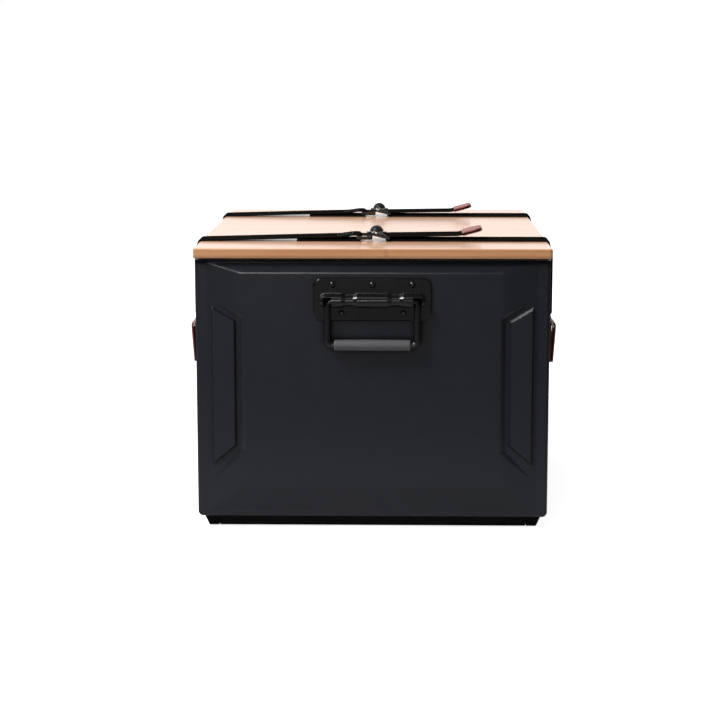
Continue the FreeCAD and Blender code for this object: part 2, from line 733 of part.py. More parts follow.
def handle_bail():
    """Bent rod: pintles in the barrel, arms, and the bar that the grip is on."""
    lean = math.atan2(BAIL_LEAN, BAIL_DROP)
    down = V(0, -math.sin(lean), -math.cos(lean))
    pivot = V(0, -FACE_Y - PIVOT_OUT, PIVOT_Z)
    half = BAIL_SPAN / 2
    length = math.hypot(BAIL_DROP, BAIL_LEAN)

    def spot(x, along):
        return pivot + X_AXIS * x + down * along

    def bend(x, along, radius, sx, sd):
        """Quarter bend whose corner is at (x, along), towards sx and sd."""
        start = spot(x + sx * radius, along)
        end = spot(x, along + sd * radius)
        slack = radius * (1 - math.sqrt(0.5))
        return start, spot(x + sx * slack, along + sd * slack), end

    top_l = bend(-half, 0, PIVOT_BEND_R, 1, 1)
    low_l = bend(-half, length, GRIP_BEND_R, 1, -1)[::-1]
    low_r = bend(half, length, GRIP_BEND_R, -1, -1)
    top_r = bend(half, 0, PIVOT_BEND_R, -1, 1)[::-1]
    edges = []
    here = spot(PINTLE_IN - half, 0)
    for start, middle, end in (top_l, low_l, low_r, top_r):
        edges.append(Part.LineSegment(here, start).toShape())
        edges.append(Part.Arc(start, middle, end).toShape())
        here = end
    edges.append(Part.LineSegment(here, spot(half - PINTLE_IN, 0)).toShape())
    path = Part.Wire(edges)
    section = Part.Wire(Part.makeCircle(ROD_R, spot(PINTLE_IN - half, 0), X_AXIS))
    return path.makePipeShell([section], True, False)


def handle_grip():
    middle = V(0, -FACE_Y - PIVOT_OUT - BAIL_LEAN, PIVOT_Z - BAIL_DROP)
    reach = X_AXIS * (GRIP_L / 2)
    sleeve = rod(GRIP_R, middle - reach, middle + reach)
    sleeve = sleeve.makeFillet(GRIP_EDGE_R, [e for e in sleeve.Edges if e.Closed])
    return sleeve.cut(rod(ROD_R + FIT, middle - reach * 2, middle + reach * 2))


def handle_backing():
    inner = -FACE_Y + SHEET
    plate = rounded_plate(PLATE_W + 2 * BACKING_MARGIN, PLATE_H + 2 * BACKING_MARGIN,
                          PLATE_R + BACKING_MARGIN, inner, inner + BACKING_T)
    holes = [rod(RIVET_R + FIT, V(x, -FACE_Y, z), V(x, inner + 2 * BACKING_T, z))
             for x, z in handle_rivet_places()]
    return plate.cut(holes)


def handle_rivets():
    grip = PLATE_T + SHEET + BACKING_T
    return Part.Compound([rivet(grip, V(x, -FACE_Y - PLATE_T, z), -Y_AXIS)
                          for x, z in handle_rivet_places()])


# Straps. Each half is drawn on the right side of the box.

U_TURN = 0.999          # a bend of a U-turn takes up nearly half of its width
LOOP_BEND_R = U_TURN * LOOP_R
RING_BEND_R = U_TURN * RING_LOOP_R


def drop_points():
    """Webbing from the lid's edge down to the hook, round its bar and up again."""
    edge = LID_W / 2 + REST + STRAP_T / 2
    outer = BAR_X + LOOP_R
    inner = BAR_X - LOOP_R
    points = [V(edge, 0, WEB_Z), V(outer, 0, LID_TOP - STRAP_FLARE), V(outer, 0, BAR_Z - LOOP_R),
              V(inner, 0, BAR_Z - LOOP_R), V(inner, 0, BAR_Z + LOOP_SEWN)]
    radii = [STRAP_EDGE_R, WEB_BEND_R, LOOP_BEND_R, LOOP_BEND_R]
    return points, radii


def tail_point(along):
    """Point on the middle of the loose tail, measured from where it turns up."""
    angle = math.radians(TAIL_ANGLE)
    turn = V(TAIL_BEND_X, 0, WEB_Z + 2 * LOOP_R + TAIL_RISE)
    return turn + V(math.cos(angle), 0, math.sin(angle)) * along


def strap_right(y_mid):
    """Half with the loose tail: up the side, along the lid, round the buckle's bar, back."""
    turn = BUCKLE_BAR_X - LOOP_R
    upper = WEB_Z + 2 * LOOP_R
    drop, radii = drop_points()
    points = [tail_point(TAIL_END), tail_point(0), V(turn, 0, upper), V(turn, 0, WEB_Z)] + drop
    bends = [WEB_BEND_R, LOOP_BEND_R, LOOP_BEND_R] + radii
    return ribbon(points, bends, STRAP_T, STRAP_W, y_mid)


def strap_left(y_mid):
    """Half with the ring: drawn on the right side and mirrored."""
    bar_x = -RING_LOOP_X
    turn = bar_x - RING_LOOP_R
    upper = WEB_Z + 2 * RING_LOOP_R
    drop, radii = drop_points()
    points = [V(bar_x + RING_FREE, 0, WEB_Z), V(turn, 0, WEB_Z), V(turn, 0, upper),
              V(bar_x + RING_FULL, 0, upper), V(bar_x + RING_SEWN, 0, WEB_Z + RING_RISE)] + drop
    bends = [RING_BEND_R, RING_BEND_R, WEB_BEND_R, WEB_BEND_R] + radii
    return mirror_x(ribbon(points, bends, STRAP_T, STRAP_W, y_mid))


def strap_ring(y_mid):
    """Wire ring in the left half's loop."""
    z = WEB_Z + RING_LOOP_R
    half = STRAP_W / 2 + REST + RING_BAR_R
    bars = []
    for x in (RING_LOOP_X, RING_TIP_X):
        bars.append(rod(RING_BAR_R, V(x, y_mid - half, z), V(x, y_mid + half, z)))
    for y in (y_mid - half, y_mid + half):
        bars.append(rod(RING_BAR_R, V(RING_LOOP_X, y, z), V(RING_TIP_X, y, z)))
        for x in (RING_LOOP_X, RING_TIP_X):
            bars.append(Part.makeSphere(RING_BAR_R, V(x, y, z)))
    return join(*bars)


def strap_tip(y_mid):
    """Leather folded over the end of the loose tail, a leaf above and a leaf below it."""
    thick = STRAP_T + 2 * TIP_LEAF
    width = STRAP_W - 2 * TIP_MARGIN
    tip = ribbon([tail_point(TIP_START), tail_point(TIP_END)], [], thick, width, y_mid)
    last = tail_point(TIP_END).x - thick
    ends = [e for e in tip.Edges if e.BoundBox.YLength < 1e-6 and e.CenterOfMass.x > last]
    ends = [e for e in ends if abs(e.Length - thick) < 1e-6]
    return tip.makeFillet(TIP_CORNER_R, ends).cut(strap_right(y_mid))


def buckle_axis_z():
    return WEB_Z + LOOP_R


def buckle_plate(y_mid):
    """Hook of the right half: bar in the loop, side wings, tapered plate, turned-down tongue."""
    z = buckle_axis_z()
    half = STRAP_W / 2 + REST
    outer = half + BUCKLE_ARM_W
    begin = BUCKLE_BAR_X - LOOP_OUTER_R - BUCKLE_CLEAR
    low = WEB_Z + RING_LOOP_R + RING_BAR_R + REST
    end = RING_TIP_X - RING_BAR_R - REST
    tip = end - BUCKLE_T
    top = low + BUCKLE_T

    def sheet(points, z0, z1):
        return prism([V(x, y_mid + y, z0) for x, y in points], V(0, 0, z1 - z0))

    taper = KNOB_X - KNOB_R
    wide = sheet([(begin, -outer), (begin, outer), (WING_X, outer), (taper, TONGUE_W / 2),
                  (taper, -TONGUE_W / 2), (WING_X, -outer)], low, top)
    tongue = sheet([(taper, -TONGUE_W / 2), (taper, TONGUE_W / 2), (tip, TONGUE_W / 2),
                    (tip, -TONGUE_W / 2)], low, top)
    claw = block(tip, end, y_mid - TONGUE_W / 2, y_mid + TONGUE_W / 2, low - TONGUE_DOWN, top)
    pieces = [wide, tongue, claw]
    bar = rod(BAR_R, V(BUCKLE_BAR_X, y_mid - outer, z), V(BUCKLE_BAR_X, y_mid + outer, z))
    pieces.append(bar)
    for side in (-1, 1):
        y0, y1 = sorted((y_mid + side * half, y_mid + side * outer))
        wing = [V(BUCKLE_BAR_X + BAR_R, y0, z - BAR_R), V(BUCKLE_BAR_X + BAR_R, y0, z + BAR_R),
                V(begin, y0, top), V(WING_X, y0, top), V(WING_X, y0, low)]
        pieces.append(prism(wing, V(0, y1 - y0, 0)))
    return join(*pieces)


def buckle_top():
    return WEB_Z + RING_LOOP_R + RING_BAR_R + REST + BUCKLE_T


def buckle_knob(y_mid):
    knob = dome(KNOB_R, KNOB_H)
    return aimed(knob, V(KNOB_X, y_mid, buckle_top() + COLLAR_H), Z_AXIS)


def buckle_collar(y_mid):
    return Part.makeCylinder(COLLAR_R, COLLAR_H, V(KNOB_X, y_mid, buckle_top()))


# Hooks, catches and pulls, drawn on the right wall

def hook_plate(y_mid):
    """Bar in the webbing's loop, arms beside it, slanted plate, lower bar and a toe."""
    half = STRAP_W / 2 + REST
    outer = half + HOOK_ARM_W
    upper = V(BAR_X, 0, BAR_Z)
    lower = V(BAR_X + HOOK_KICK, 0, BAR_Z - HOOK_DROP)
    run = (lower - upper).normalize()
    begin = upper + run * (LOOP_OUTER_R + HOOK_CLEAR)
    pieces = []
    for spot in (upper, lower):
        pieces.append(rod(BAR_R, spot + Y_AXIS * (y_mid - outer), spot + Y_AXIS * (y_mid + outer)))
    knee = lower - run * (PULL_T + 2 * BAR_R + 2 * LOOP_FIT)
    pieces.append(ribbon([begin, knee], [], HOOK_T, 2 * outer, y_mid))
    for side in (-1, 1):
        middle = y_mid + side * (half + outer) / 2
        pieces.append(ribbon([upper, lower], [], HOOK_T, HOOK_ARM_W, middle))
    toe_z = BAR_Z - TOE_DOWN
    toe_end = SIDE_X + CATCH_REACH + TOE_GAP
    reach = knee - run * TOE_ROOT
    toe = [V(toe_end, 0, toe_z), V(toe_end, 0, toe_z + HOOK_T), reach, knee]
    toe = [V(p.x, y_mid - CATCH_W / 2, p.z) for p in toe]
    pieces.append(prism(toe, V(0, CATCH_W, 0)))
    return join(*pieces)


def wall_catch(y_mid):
    """Bent plate on the side wall: base, outward ledge and a lip that hangs down."""
    top = CATCH_Z
    y0 = y_mid - CATCH_W / 2
    y1 = y_mid + CATCH_W / 2
    base = block(SIDE_X, SIDE_X + CATCH_T, y0, y1, top - CATCH_H, top)
    ledge = block(SIDE_X, SIDE_X + CATCH_REACH, y0, y1, top - CATCH_T, top)
    lip = block(SIDE_X + CATCH_REACH - CATCH_T, SIDE_X + CATCH_REACH, y0, y1, top - CATCH_LIP, top)
    holes = []
    for y, z in catch_rivet_places():
        holes.append(rod(RIVET_R + FIT, V(SIDE_X - SHEET, y, z), V(SIDE_X + 2 * CATCH_T, y, z)))
    return join(base, ledge, lip).cut(holes)


def catch_rivets():
    rivets = [rivet(CATCH_T + SHEET, V(SIDE_X + CATCH_T, y, z), X_AXIS) for y, z in catch_rivet_places()]
    return Part.Compound(rivets + [mirror_x(piece) for piece in rivets])


def leather_pull(y_mid):
    """Leather folded over the hook's lower bar, its two leaves meeting at the end."""
    fold = BAR_R + LOOP_FIT + PULL_T / 2
    bar = V(BAR_X + HOOK_KICK, 0, BAR_Z - HOOK_DROP)
    end = V(bar.x - PULL_TUCK, 0, bar.z - PULL_L)
    near = PULL_T / 2 + REST / 2
    points = [end + V(near, 0, 0), V(bar.x + fold, 0, bar.z - fold), V(bar.x + fold, 0, bar.z + fold),
              V(bar.x - fold, 0, bar.z + fold), V(bar.x - fold, 0, bar.z - fold), end - V(near, 0, 0)]
    bends = [PULL_BEND_R, U_TURN * fold, U_TURN * fold, PULL_BEND_R]
    return ribbon(points, bends, PULL_T, PULL_W, y_mid)


def main():
    os.makedirs("parts", exist_ok=True)
    front, left = body_panels()
    front = drilled_end(front)
    left = drilled_side(left)
    nodes = {
        "front_end_panel": front,
        "rear_end_panel": turn_round(front),
        "left_side_panel": left,
        "right_side_panel": turn_round(left),
        "floor_pan": floor_pan(),
        "corner_posts": corner_posts(),
        "rim_frame": rim_frame(),
        "rim_gasket": rim_gasket(),
        "foot_screws": foot_screws(),
        "plinth_rails": plinth_rails(),
        "lid_board": lid_board(),
        "lid_cleats": lid_cleats(),
        "lid_cleat_screws": lid_cleat_screws(),
        "catch_rivets": catch_rivets(),
    }
    pad = foot()
    nodes["foot_rear_right"] = pad
    nodes["foot_rear_left"] = mirror_x(pad)
    nodes["foot_front_right"] = mirror_y(pad)
    nodes["foot_front_left"] = mirror_x(mirror_y(pad))

    handle = {
        "handle_plate": handle_plate(),
        "handle_bail": handle_bail(),
        "handle_grip": handle_grip(),
        "handle_rivets": handle_rivets(),
        "handle_backing": handle_backing(),
    }
    for name, shape in handle.items():
        nodes["front_" + name] = shape
        nodes["rear_" + name] = turn_round(shape)

    for end, y_mid in (("front", -STRAP_AT), ("rear", STRAP_AT)):
        nodes[end + "_strap_left"] = strap_left(y_mid)
        nodes[end + "_strap_right"] = strap_right(y_mid)
        nodes[end + "_strap_ring"] = strap_ring(y_mid)
        nodes[end + "_strap_tip"] = strap_tip(y_mid)
        nodes[end + "_buckle_plate"] = buckle_plate(y_mid)
        nodes[end + "_buckle_knob"] = buckle_knob(y_mid)
        nodes[end + "_buckle_collar"] = buckle_collar(y_mid)
        for piece, make in (("hook", hook_plate), ("catch", wall_catch), ("pull", leather_pull)):
            right = make(y_mid)
            nodes[end + "_right_" + piece] = right
            nodes[end + "_left_" + piece] = mirror_x(right)

    for name, shape in nodes.items():
        shape.exportStep("parts/" + name + ".step")
        print(name, len(shape.Solids), "solids", round(shape.Volume), "mm3", shape.isValid())


main()
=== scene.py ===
# %% [markdown]
# # An aluminium camping box, dressed for its portrait
# The box is a shell of pressed aluminium sheet under a dark powder coat. A loose bamboo board
# is its lid, two webbing straps hold the lid down, and a chest handle hangs at each end.
# The CAD model already has every rigid piece in its place, in metres, so this lesson loads it,
# gives each piece its finish, and makes the soft pieces and the small fasteners anew.

# %% Load the CAD model
import json
import math

import bmesh
import bpy
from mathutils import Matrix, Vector

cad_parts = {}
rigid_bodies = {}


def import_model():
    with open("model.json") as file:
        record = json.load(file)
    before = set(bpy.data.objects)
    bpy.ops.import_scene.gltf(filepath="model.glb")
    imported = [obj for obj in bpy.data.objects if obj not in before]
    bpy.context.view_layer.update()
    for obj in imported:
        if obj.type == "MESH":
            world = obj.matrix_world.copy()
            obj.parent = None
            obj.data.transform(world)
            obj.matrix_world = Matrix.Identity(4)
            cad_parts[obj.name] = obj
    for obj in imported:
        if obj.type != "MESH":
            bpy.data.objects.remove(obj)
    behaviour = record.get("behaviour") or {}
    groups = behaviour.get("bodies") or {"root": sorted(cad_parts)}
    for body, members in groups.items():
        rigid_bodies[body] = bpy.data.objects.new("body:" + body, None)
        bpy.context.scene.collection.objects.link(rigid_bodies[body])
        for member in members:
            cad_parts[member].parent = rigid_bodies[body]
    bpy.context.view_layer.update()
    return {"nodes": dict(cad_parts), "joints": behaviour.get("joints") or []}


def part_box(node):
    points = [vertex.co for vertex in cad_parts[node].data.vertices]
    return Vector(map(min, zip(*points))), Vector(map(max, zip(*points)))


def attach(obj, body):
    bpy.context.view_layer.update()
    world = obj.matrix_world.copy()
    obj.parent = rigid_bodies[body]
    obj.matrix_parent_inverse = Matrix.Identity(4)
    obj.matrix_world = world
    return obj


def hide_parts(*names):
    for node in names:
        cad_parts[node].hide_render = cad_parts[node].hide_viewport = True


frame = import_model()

NODES = frame["nodes"]
ENDS = ("front", "rear")
SIDES = ("left", "right")
show = bpy.context.scene.collection.objects.link

# %% [markdown]
# ## A helper for finishes
# A finish is a tree of shader nodes. Nodes could be wired one by one with long lines, or painted
# on images. Images are not used here: every pattern is computed from the place on the piece, so it
# stays sharp at any size. This small class keeps the wiring short and readable.


# %% Finish: a material built step by step
class Finish:
    """One material. Values go to its shader, and methods add the usual pattern nodes."""

    def __init__(self, name, **constants):
        self.material = bpy.data.materials.new(name)
        self.material.use_nodes = True
        self.tree = self.material.node_tree
        self.shader = self.tree.nodes["Principled BSDF"]
        self.set(**constants)

    def put(self, socket, value):
        if isinstance(value, bpy.types.NodeSocket):
            self.tree.links.new(value, socket)
        else:
            socket.default_value = value

    def set(self, **values):
        for name, value in values.items():
            self.put(self.shader.inputs[name.replace("_", " ")], value)
        return self.material

    def add(self, kind, inputs, **settings):
        node = self.tree.nodes.new("ShaderNode" + kind)
        for name, value in settings.items():
            setattr(node, name, value)
        for key, value in inputs.items():
            self.put(node.inputs[key], value)
        return node

    def place(self, scale=(1.0, 1.0, 1.0), turn=(0.0, 0.0, 0.0), source="Object"):
        spot = self.add("TexCoord", {}).outputs[source]
        return self.add("Mapping", {"Vector": spot, "Scale": scale, "Rotation": turn}).outputs[0]

    def parts(self, vector):
        return self.add("SeparateXYZ", {0: vector}).outputs

    def noise(self, where, scale, detail=2.0, roughness=0.5):
        inputs = {"Vector": where, "Scale": scale, "Detail": detail, "Roughness": roughness}
        return self.add("TexNoise", inputs).outputs[0]

    def cells(self, where, scale, feature="DISTANCE_TO_EDGE"):
        node = self.add("TexVoronoi", {"Vector": where, "Scale": scale}, feature=feature)
        return node.outputs["Distance"]

    def maths(self, operation, a, b=0.0):
        return self.add("Math", {0: a, 1: b}, operation=operation).outputs[0]

    def spread(self, value, low, high, at_low=0.0, at_high=1.0):
        inputs = {"Value": value, "From Min": low, "From Max": high, "To Min": at_low, "To Max": at_high}
        return self.add("MapRange", inputs).outputs[0]

    def mix(self, share, first, second):
        inputs = {0: share, 6: first, 7: second}
        return self.add("Mix", inputs, data_type="RGBA").outputs[2]

    def lottery(self, value):
        """A fixed random number from 0 to 1 for each whole number."""
        whole = self.maths("FLOOR", value)
        return self.add("TexWhiteNoise", {"W": whole}, noise_dimensions="1D").outputs["Value"]

    def rounded(self, radius):
        """Normals that lean over at sharp edges, as on a broken corner."""
        return self.add("Bevel", {"Radius": radius}, samples=4).outputs[0]

    def edges(self, radius):
        """0 on open faces, rising along sharp edges."""
        true = self.add("NewGeometry", {}).outputs["Normal"]
        inputs = {0: self.rounded(radius), 1: true}
        agree = self.add("VectorMath", inputs, operation="DOT_PRODUCT").outputs["Value"]
        return self.spread(agree, 1.0, 0.75)

    def bump(self, height, depth, strength=1.0, over=None):
        inputs = {"Height": height, "Distance": depth, "Strength": strength}
        if over is not None:
            inputs["Normal"] = over
        return self.add("Bump", inputs).outputs[0]


def shade(red, green, blue):
    return (red, green, blue, 1.0)


print("finish helper ready")

# %% [markdown]
# ## Powder coat on the pressed panels
# Powder coat is plastic dust, charged, blown on the metal and melted in an oven. It dries with a
# fine orange peel and a satin sheen. A flat dark colour would look like paper, so the tint drifts
# a little over a hand's breadth, the peel is a shallow bump, and edges are rubbed a shade paler.
# Grooves, corners beside other pieces and a strip under the lid's edge lie in deep shade, so the
# coat is made darker and duller there.


# %% Powder coat
SHADED_STRIP = (0.2965, 0.3000)


def powder_coat():
    coat = Finish("dark_powder_coat")
    spot = coat.place()
    drift = coat.noise(spot, 7.0, 3.0)
    peel = coat.noise(spot, 750.0, 2.0)
    scuffs = coat.noise(coat.place((30.0, 30.0, 6.0)), 4.0, 6.0, 0.7)
    rubbed = coat.maths("MULTIPLY", coat.edges(0.0008), coat.spread(scuffs, 0.45, 0.7, 0.0, 0.5))
    # Painted shade: hollows found by ambient occlusion, and a strip under the lid's edge, are tinted
    # darker and given less shine.
    open_sky = coat.add("AmbientOcclusion", {"Distance": 0.008}, samples=4).outputs["AO"]
    strip = coat.spread(coat.parts(spot)[2], *SHADED_STRIP)
    painted_shade = coat.maths("MAXIMUM", coat.spread(open_sky, 0.92, 0.50), strip)
    tint = coat.mix(drift, shade(0.0100, 0.0109, 0.0150), shade(0.0115, 0.0125, 0.0170))
    tint = coat.mix(rubbed, tint, shade(0.075, 0.077, 0.084))
    tint = coat.mix(coat.maths("MULTIPLY", painted_shade, 0.85), tint, shade(0.003, 0.003, 0.004))
    gloss = coat.spread(coat.noise(spot, 55.0, 4.0), 0.3, 0.7, 0.22, 0.27)
    shine = coat.spread(painted_shade, 0.0, 1.0, 0.30, 0.04)
    normal = coat.bump(peel, 0.00002, 0.2, coat.rounded(0.0018))
    return coat.set(Base_Color=tint, Roughness=gloss, Specular_IOR_Level=shine, Normal=normal)


POWDER_COAT = powder_coat()
PANELS = ("front_end_panel", "rear_end_panel", "left_side_panel", "right_side_panel")
print("powder coat for", len(PANELS), "panels")

# %% [markdown]
# ## Bare aluminium inside
# The floor pan, the corner posts and the rim are plain sheet from the rolling mill. Rolling leaves
# long faint streaks, so a noise is stretched far along one direction and drives the roughness.


# %% Bare aluminium
def bare_aluminium():
    sheet = Finish("milled_aluminium", Metallic=1.0)
    streaks = sheet.noise(sheet.place((400.0, 6.0, 400.0)), 1.0, 4.0)
    smudge = sheet.noise(sheet.place(), 18.0, 4.0)
    tint = sheet.mix(smudge, shade(0.50, 0.51, 0.53), shade(0.62, 0.63, 0.64))
    gloss = sheet.spread(streaks, 0.25, 0.75, 0.34, 0.52)
    normal = sheet.bump(streaks, 0.00003, 0.4, sheet.rounded(0.0004))
    return sheet.set(Base_Color=tint, Roughness=gloss, Normal=normal)


BARE_ALUMINIUM = bare_aluminium()
print("bare aluminium ready")

# %% [markdown]
# ## Bamboo for the lid
# A bamboo board is pressed from narrow strips in three layers, and lacquered. Each strip has its
# own shade, fine fibres run along it, and now and then a knuckle of the cane crosses it as a thin
# dark bar. The strips here run across the box. Strip numbers, fibres and knuckles all come from
# the place on the board, and the layer from its height, so the edge shows the three plies. The
# upper face is painted paler than the cut edge, as a painted highlight for the light and the
# reflection that the lacquered top catches.

# %% Bamboo
BOARD_LOW, BOARD_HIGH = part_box("lid_board")
STRIP_WIDTH = 0.0205
KNUCKLE_EVERY = 0.265
PLY_LINES = (0.30, 0.68)
PAINTED_LIGHT_LINE = 0.985


def bamboo():
    board = Finish("lacquered_bamboo", Specular_IOR_Level=0.5)
    x, y, z = board.parts(board.place())
    strip = board.maths("DIVIDE", y, STRIP_WIDTH)
    own = board.lottery(strip)
    shift = board.maths("MULTIPLY", own, 7.3)
    fibres = board.noise(board.place((9.0, 1100.0, 1100.0)), 1.0, 3.0, 0.6)
    clouds = board.noise(board.place((5.0, 40.0, 40.0)), 1.0, 3.0)
    along = board.maths("FRACT", board.maths("ADD", board.maths("DIVIDE", x, KNUCKLE_EVERY), shift))
    knuckle = board.spread(board.maths("ABSOLUTE", board.maths("SUBTRACT", along, 0.5)), 0.012, 0.003)
    across = board.maths("ABSOLUTE", board.maths("SUBTRACT", board.maths("FRACT", strip), 0.5))
    seam = board.spread(across, 0.478, 0.496)
    height = board.spread(z, BOARD_LOW.z, BOARD_HIGH.z)
    upper = board.maths("GREATER_THAN", height, PLY_LINES[1])
    lower = board.maths("LESS_THAN", height, PLY_LINES[0])
    tint = board.mix(own, shade(0.455, 0.198, 0.080), shade(0.535, 0.250, 0.110))
    tint = board.mix(board.spread(fibres, 0.35, 0.75, 0.0, 0.22), tint, shade(0.44, 0.20, 0.085))
    tint = board.mix(board.spread(clouds, 0.4, 0.8, 0.0, 0.4), tint, shade(0.72, 0.43, 0.24))
    # Painted highlight: the top face is mixed towards a pale colour for its light and reflection.
    face = board.maths("GREATER_THAN", height, PAINTED_LIGHT_LINE)
    for where, strength, colour in ((knuckle, 0.30, shade(0.30, 0.13, 0.05)),
                                    (seam, 0.40, shade(0.24, 0.11, 0.045)),
                                    (upper, 0.16, shade(0.34, 0.17, 0.08)),
                                    (lower, 0.42, shade(0.22, 0.12, 0.07)),
                                    (face, 0.55, shade(0.92, 0.57, 0.39))):
        tint = board.mix(board.maths("MULTIPLY", where, strength), tint, colour)
    gloss = board.spread(fibres, 0.3, 0.7, 0.16, 0.23)
    relief = board.maths("SUBTRACT", fibres, board.maths("MULTIPLY", seam, 0.8))
    normal = board.bump(relief, 0.00004, 0.25)
    return board.set(Base_Color=tint, Roughness=gloss, Normal=normal)


BAMBOO = bamboo()
print("bamboo strips across the lid:", round((BOARD_HIGH.y - BOARD_LOW.y) / STRIP_WIDTH, 1))

# %% [markdown]
# ## Black enamel on the handles, satin black on the buckles
# The handle's plate and bail are steel with a glossy stoved enamel. It flows a little before it
# sets, so its bump is soft and wide. Buckles and rings are blacked more thinly and look drier.
# One recipe serves both, each with its own tint, roughness, flow and shine.


# %% Black enamel
def black_enamel(name, dark, pale, low, high, flow, shine):
    enamel = Finish(name, Specular_IOR_Level=shine)
    spot = enamel.place()
    drift = enamel.noise(spot, 60.0, 3.0)
    ripple = enamel.noise(spot, 130.0, 1.0)
    worn = enamel.maths("MULTIPLY", enamel.edges(0.0006), enamel.spread(drift, 0.5, 0.8, 0.0, 0.2))
    tint = enamel.mix(worn, enamel.mix(drift, dark, pale), shade(0.16, 0.16, 0.165))
    gloss = enamel.spread(enamel.noise(spot, 140.0, 4.0), 0.3, 0.7, low, high)
    normal = enamel.bump(ripple, flow, 0.5, enamel.rounded(0.0008))
    return enamel.set(Base_Color=tint, Roughness=gloss, Normal=normal)


HANDLE_ENAMEL = black_enamel("handle_enamel", shade(0.003, 0.003, 0.0035), shade(0.005, 0.005, 0.0055),
                             0.16, 0.22, 0.00003, 0.38)
BUCKLE_BLACK = black_enamel("buckle_black", shade(0.009, 0.008, 0.008), shade(0.016, 0.014, 0.013),
                            0.34, 0.46, 0.00003, 0.2)
print("two black enamels ready")

# %% [markdown]
# ## Bright steel and zinc
# Hooks, catches and collars are nickel plated: bright, with hairline scratches in two
# directions. Screws are zinc plated, with a blotchy crystal skin. Both are metals, so colour sits
# in the reflection, and the interest comes from roughness that varies over the surface.


# %% Bright steel and zinc
def bright_steel():
    plate = Finish("nickel_plate", Metallic=1.0)
    first = plate.noise(plate.place((60.0, 1400.0, 1400.0), (0.0, 0.4, 0.9)), 1.0, 3.0, 0.6)
    second = plate.noise(plate.place((1400.0, 60.0, 1400.0), (0.5, 0.0, -0.4)), 1.0, 3.0, 0.6)
    scratches = plate.maths("MAXIMUM", first, second)
    smudge = plate.noise(plate.place(), 90.0, 3.0)
    tint = plate.mix(smudge, shade(0.52, 0.51, 0.49), shade(0.66, 0.65, 0.63))
    gloss = plate.spread(scratches, 0.45, 0.8, 0.20, 0.40)
    normal = plate.bump(scratches, 0.00002, 0.4, plate.rounded(0.0004))
    return plate.set(Base_Color=tint, Roughness=gloss, Normal=normal)


def zinc_plate():
    plate = Finish("zinc_plate", Metallic=1.0)
    spot = plate.place()
    crystals = plate.cells(spot, 800.0, "F1")
    tint = plate.mix(crystals, shade(0.55, 0.56, 0.58), shade(0.40, 0.41, 0.44))
    gloss = plate.spread(crystals, 0.0, 0.7, 0.28, 0.45)
    normal = plate.bump(plate.noise(spot, 1500.0), 0.00002, 0.4)
    return plate.set(Base_Color=tint, Roughness=gloss, Normal=normal)


BRIGHT_STEEL = bright_steel()
ZINC_PLATE = zinc_plate()
print("bright steel and zinc ready")

# %% [markdown]
# ## Moulded plastic and rubber
# Feet and rails are moulded in a spark-eroded tool that gives them a fine pebble. The grip is a
# satin rubber sleeve and the gasket a duller, denser one. The same recipe makes all of them: a
# pebble bump, a slow drift of the tint, and a roughness range of its own for each.


# %% Moulded plastic and rubber
def moulded(name, dark, pale, low, high, pebble, depth, shine, sheen):
    skin = Finish(name, Specular_IOR_Level=shine, Sheen_Weight=sheen, Sheen_Roughness=0.5)
    spot = skin.place()
    drift = skin.noise(spot, 30.0, 4.0)
    grain = skin.noise(spot, pebble, 3.0, 0.6)
    gloss = skin.spread(grain, 0.3, 0.7, low, high)
    normal = skin.bump(grain, depth, 0.6, skin.rounded(0.0006))
    return skin.set(Base_Color=skin.mix(drift, dark, pale), Roughness=gloss, Normal=normal)


# Painted shade: this plastic is tinted near black so the plinth rails under the box read as the shade
# beneath it; the feet share it.
FOOT_PLASTIC = moulded("pebbled_plastic", shade(0.003, 0.003, 0.0035), shade(0.005, 0.005, 0.0055),
                       0.52, 0.66, 900.0, 0.00008, 0.05, 0.0)
GRIP_RUBBER = moulded("satin_rubber", shade(0.055, 0.056, 0.060), shade(0.075, 0.076, 0.080),
                      0.40, 0.52, 1300.0, 0.00004, 0.4, 0.05)
GASKET_RUBBER = moulded("gasket_rubber", shade(0.010, 0.010, 0.010), shade(0.018, 0.018, 0.018),
                        0.60, 0.75, 1600.0, 0.00006, 0.4, 0.05)
print("plastic and two rubbers ready")

# %% [markdown]
# ## Webbing and thread
# Webbing is woven: warp ends run along it in columns, and weft picks cross them, over and under.
# The strap meshes carry a UV map in metres, across and along the band, so the weave follows every
# bend. Two sine waves, shifted by half a pick in every second column, give each crossing its dome.

# %% Webbing and thread
WARP = 0.0013
PICK = 0.0017


def webbing():
    cloth = Finish("woven_webbing", Specular_IOR_Level=0.0)
    uv = cloth.place(source="UV")
    across, along, _ = cloth.parts(uv)
    column = cloth.maths("DIVIDE", across, WARP)
    odd = cloth.maths("MODULO", cloth.maths("ABSOLUTE", cloth.maths("FLOOR", column)), 2.0)
    pick = cloth.maths("ADD", cloth.maths("DIVIDE", along, PICK), cloth.maths("MULTIPLY", odd, 0.5))
    waves = [cloth.maths("ABSOLUTE", cloth.maths("SINE", cloth.maths("MULTIPLY", line, math.pi)))
             for line in (column, pick)]
    dome = cloth.maths("MULTIPLY", waves[0], waves[1])
    fuzz = cloth.noise(cloth.place((900.0, 4000.0, 1.0), source="UV"), 1.0, 2.0)
    height = cloth.maths("ADD", dome, cloth.maths("MULTIPLY", fuzz, 0.3))
    faded = cloth.noise(cloth.place(), 25.0, 3.0)
    tint = cloth.mix(faded, shade(0.0070, 0.0060, 0.0052), shade(0.0115, 0.0098, 0.0085))
    # Painted shade: the dips between the domes of the weave are tinted darker.
    tint = cloth.mix(cloth.spread(dome, 0.0, 0.9, 0.6, 0.0), tint, shade(0.003, 0.003, 0.003))
    gloss = cloth.spread(fuzz, 0.3, 0.7, 0.70, 0.85)
    return cloth.set(Base_Color=tint, Roughness=gloss, Normal=cloth.bump(height, 0.00025, 0.8))


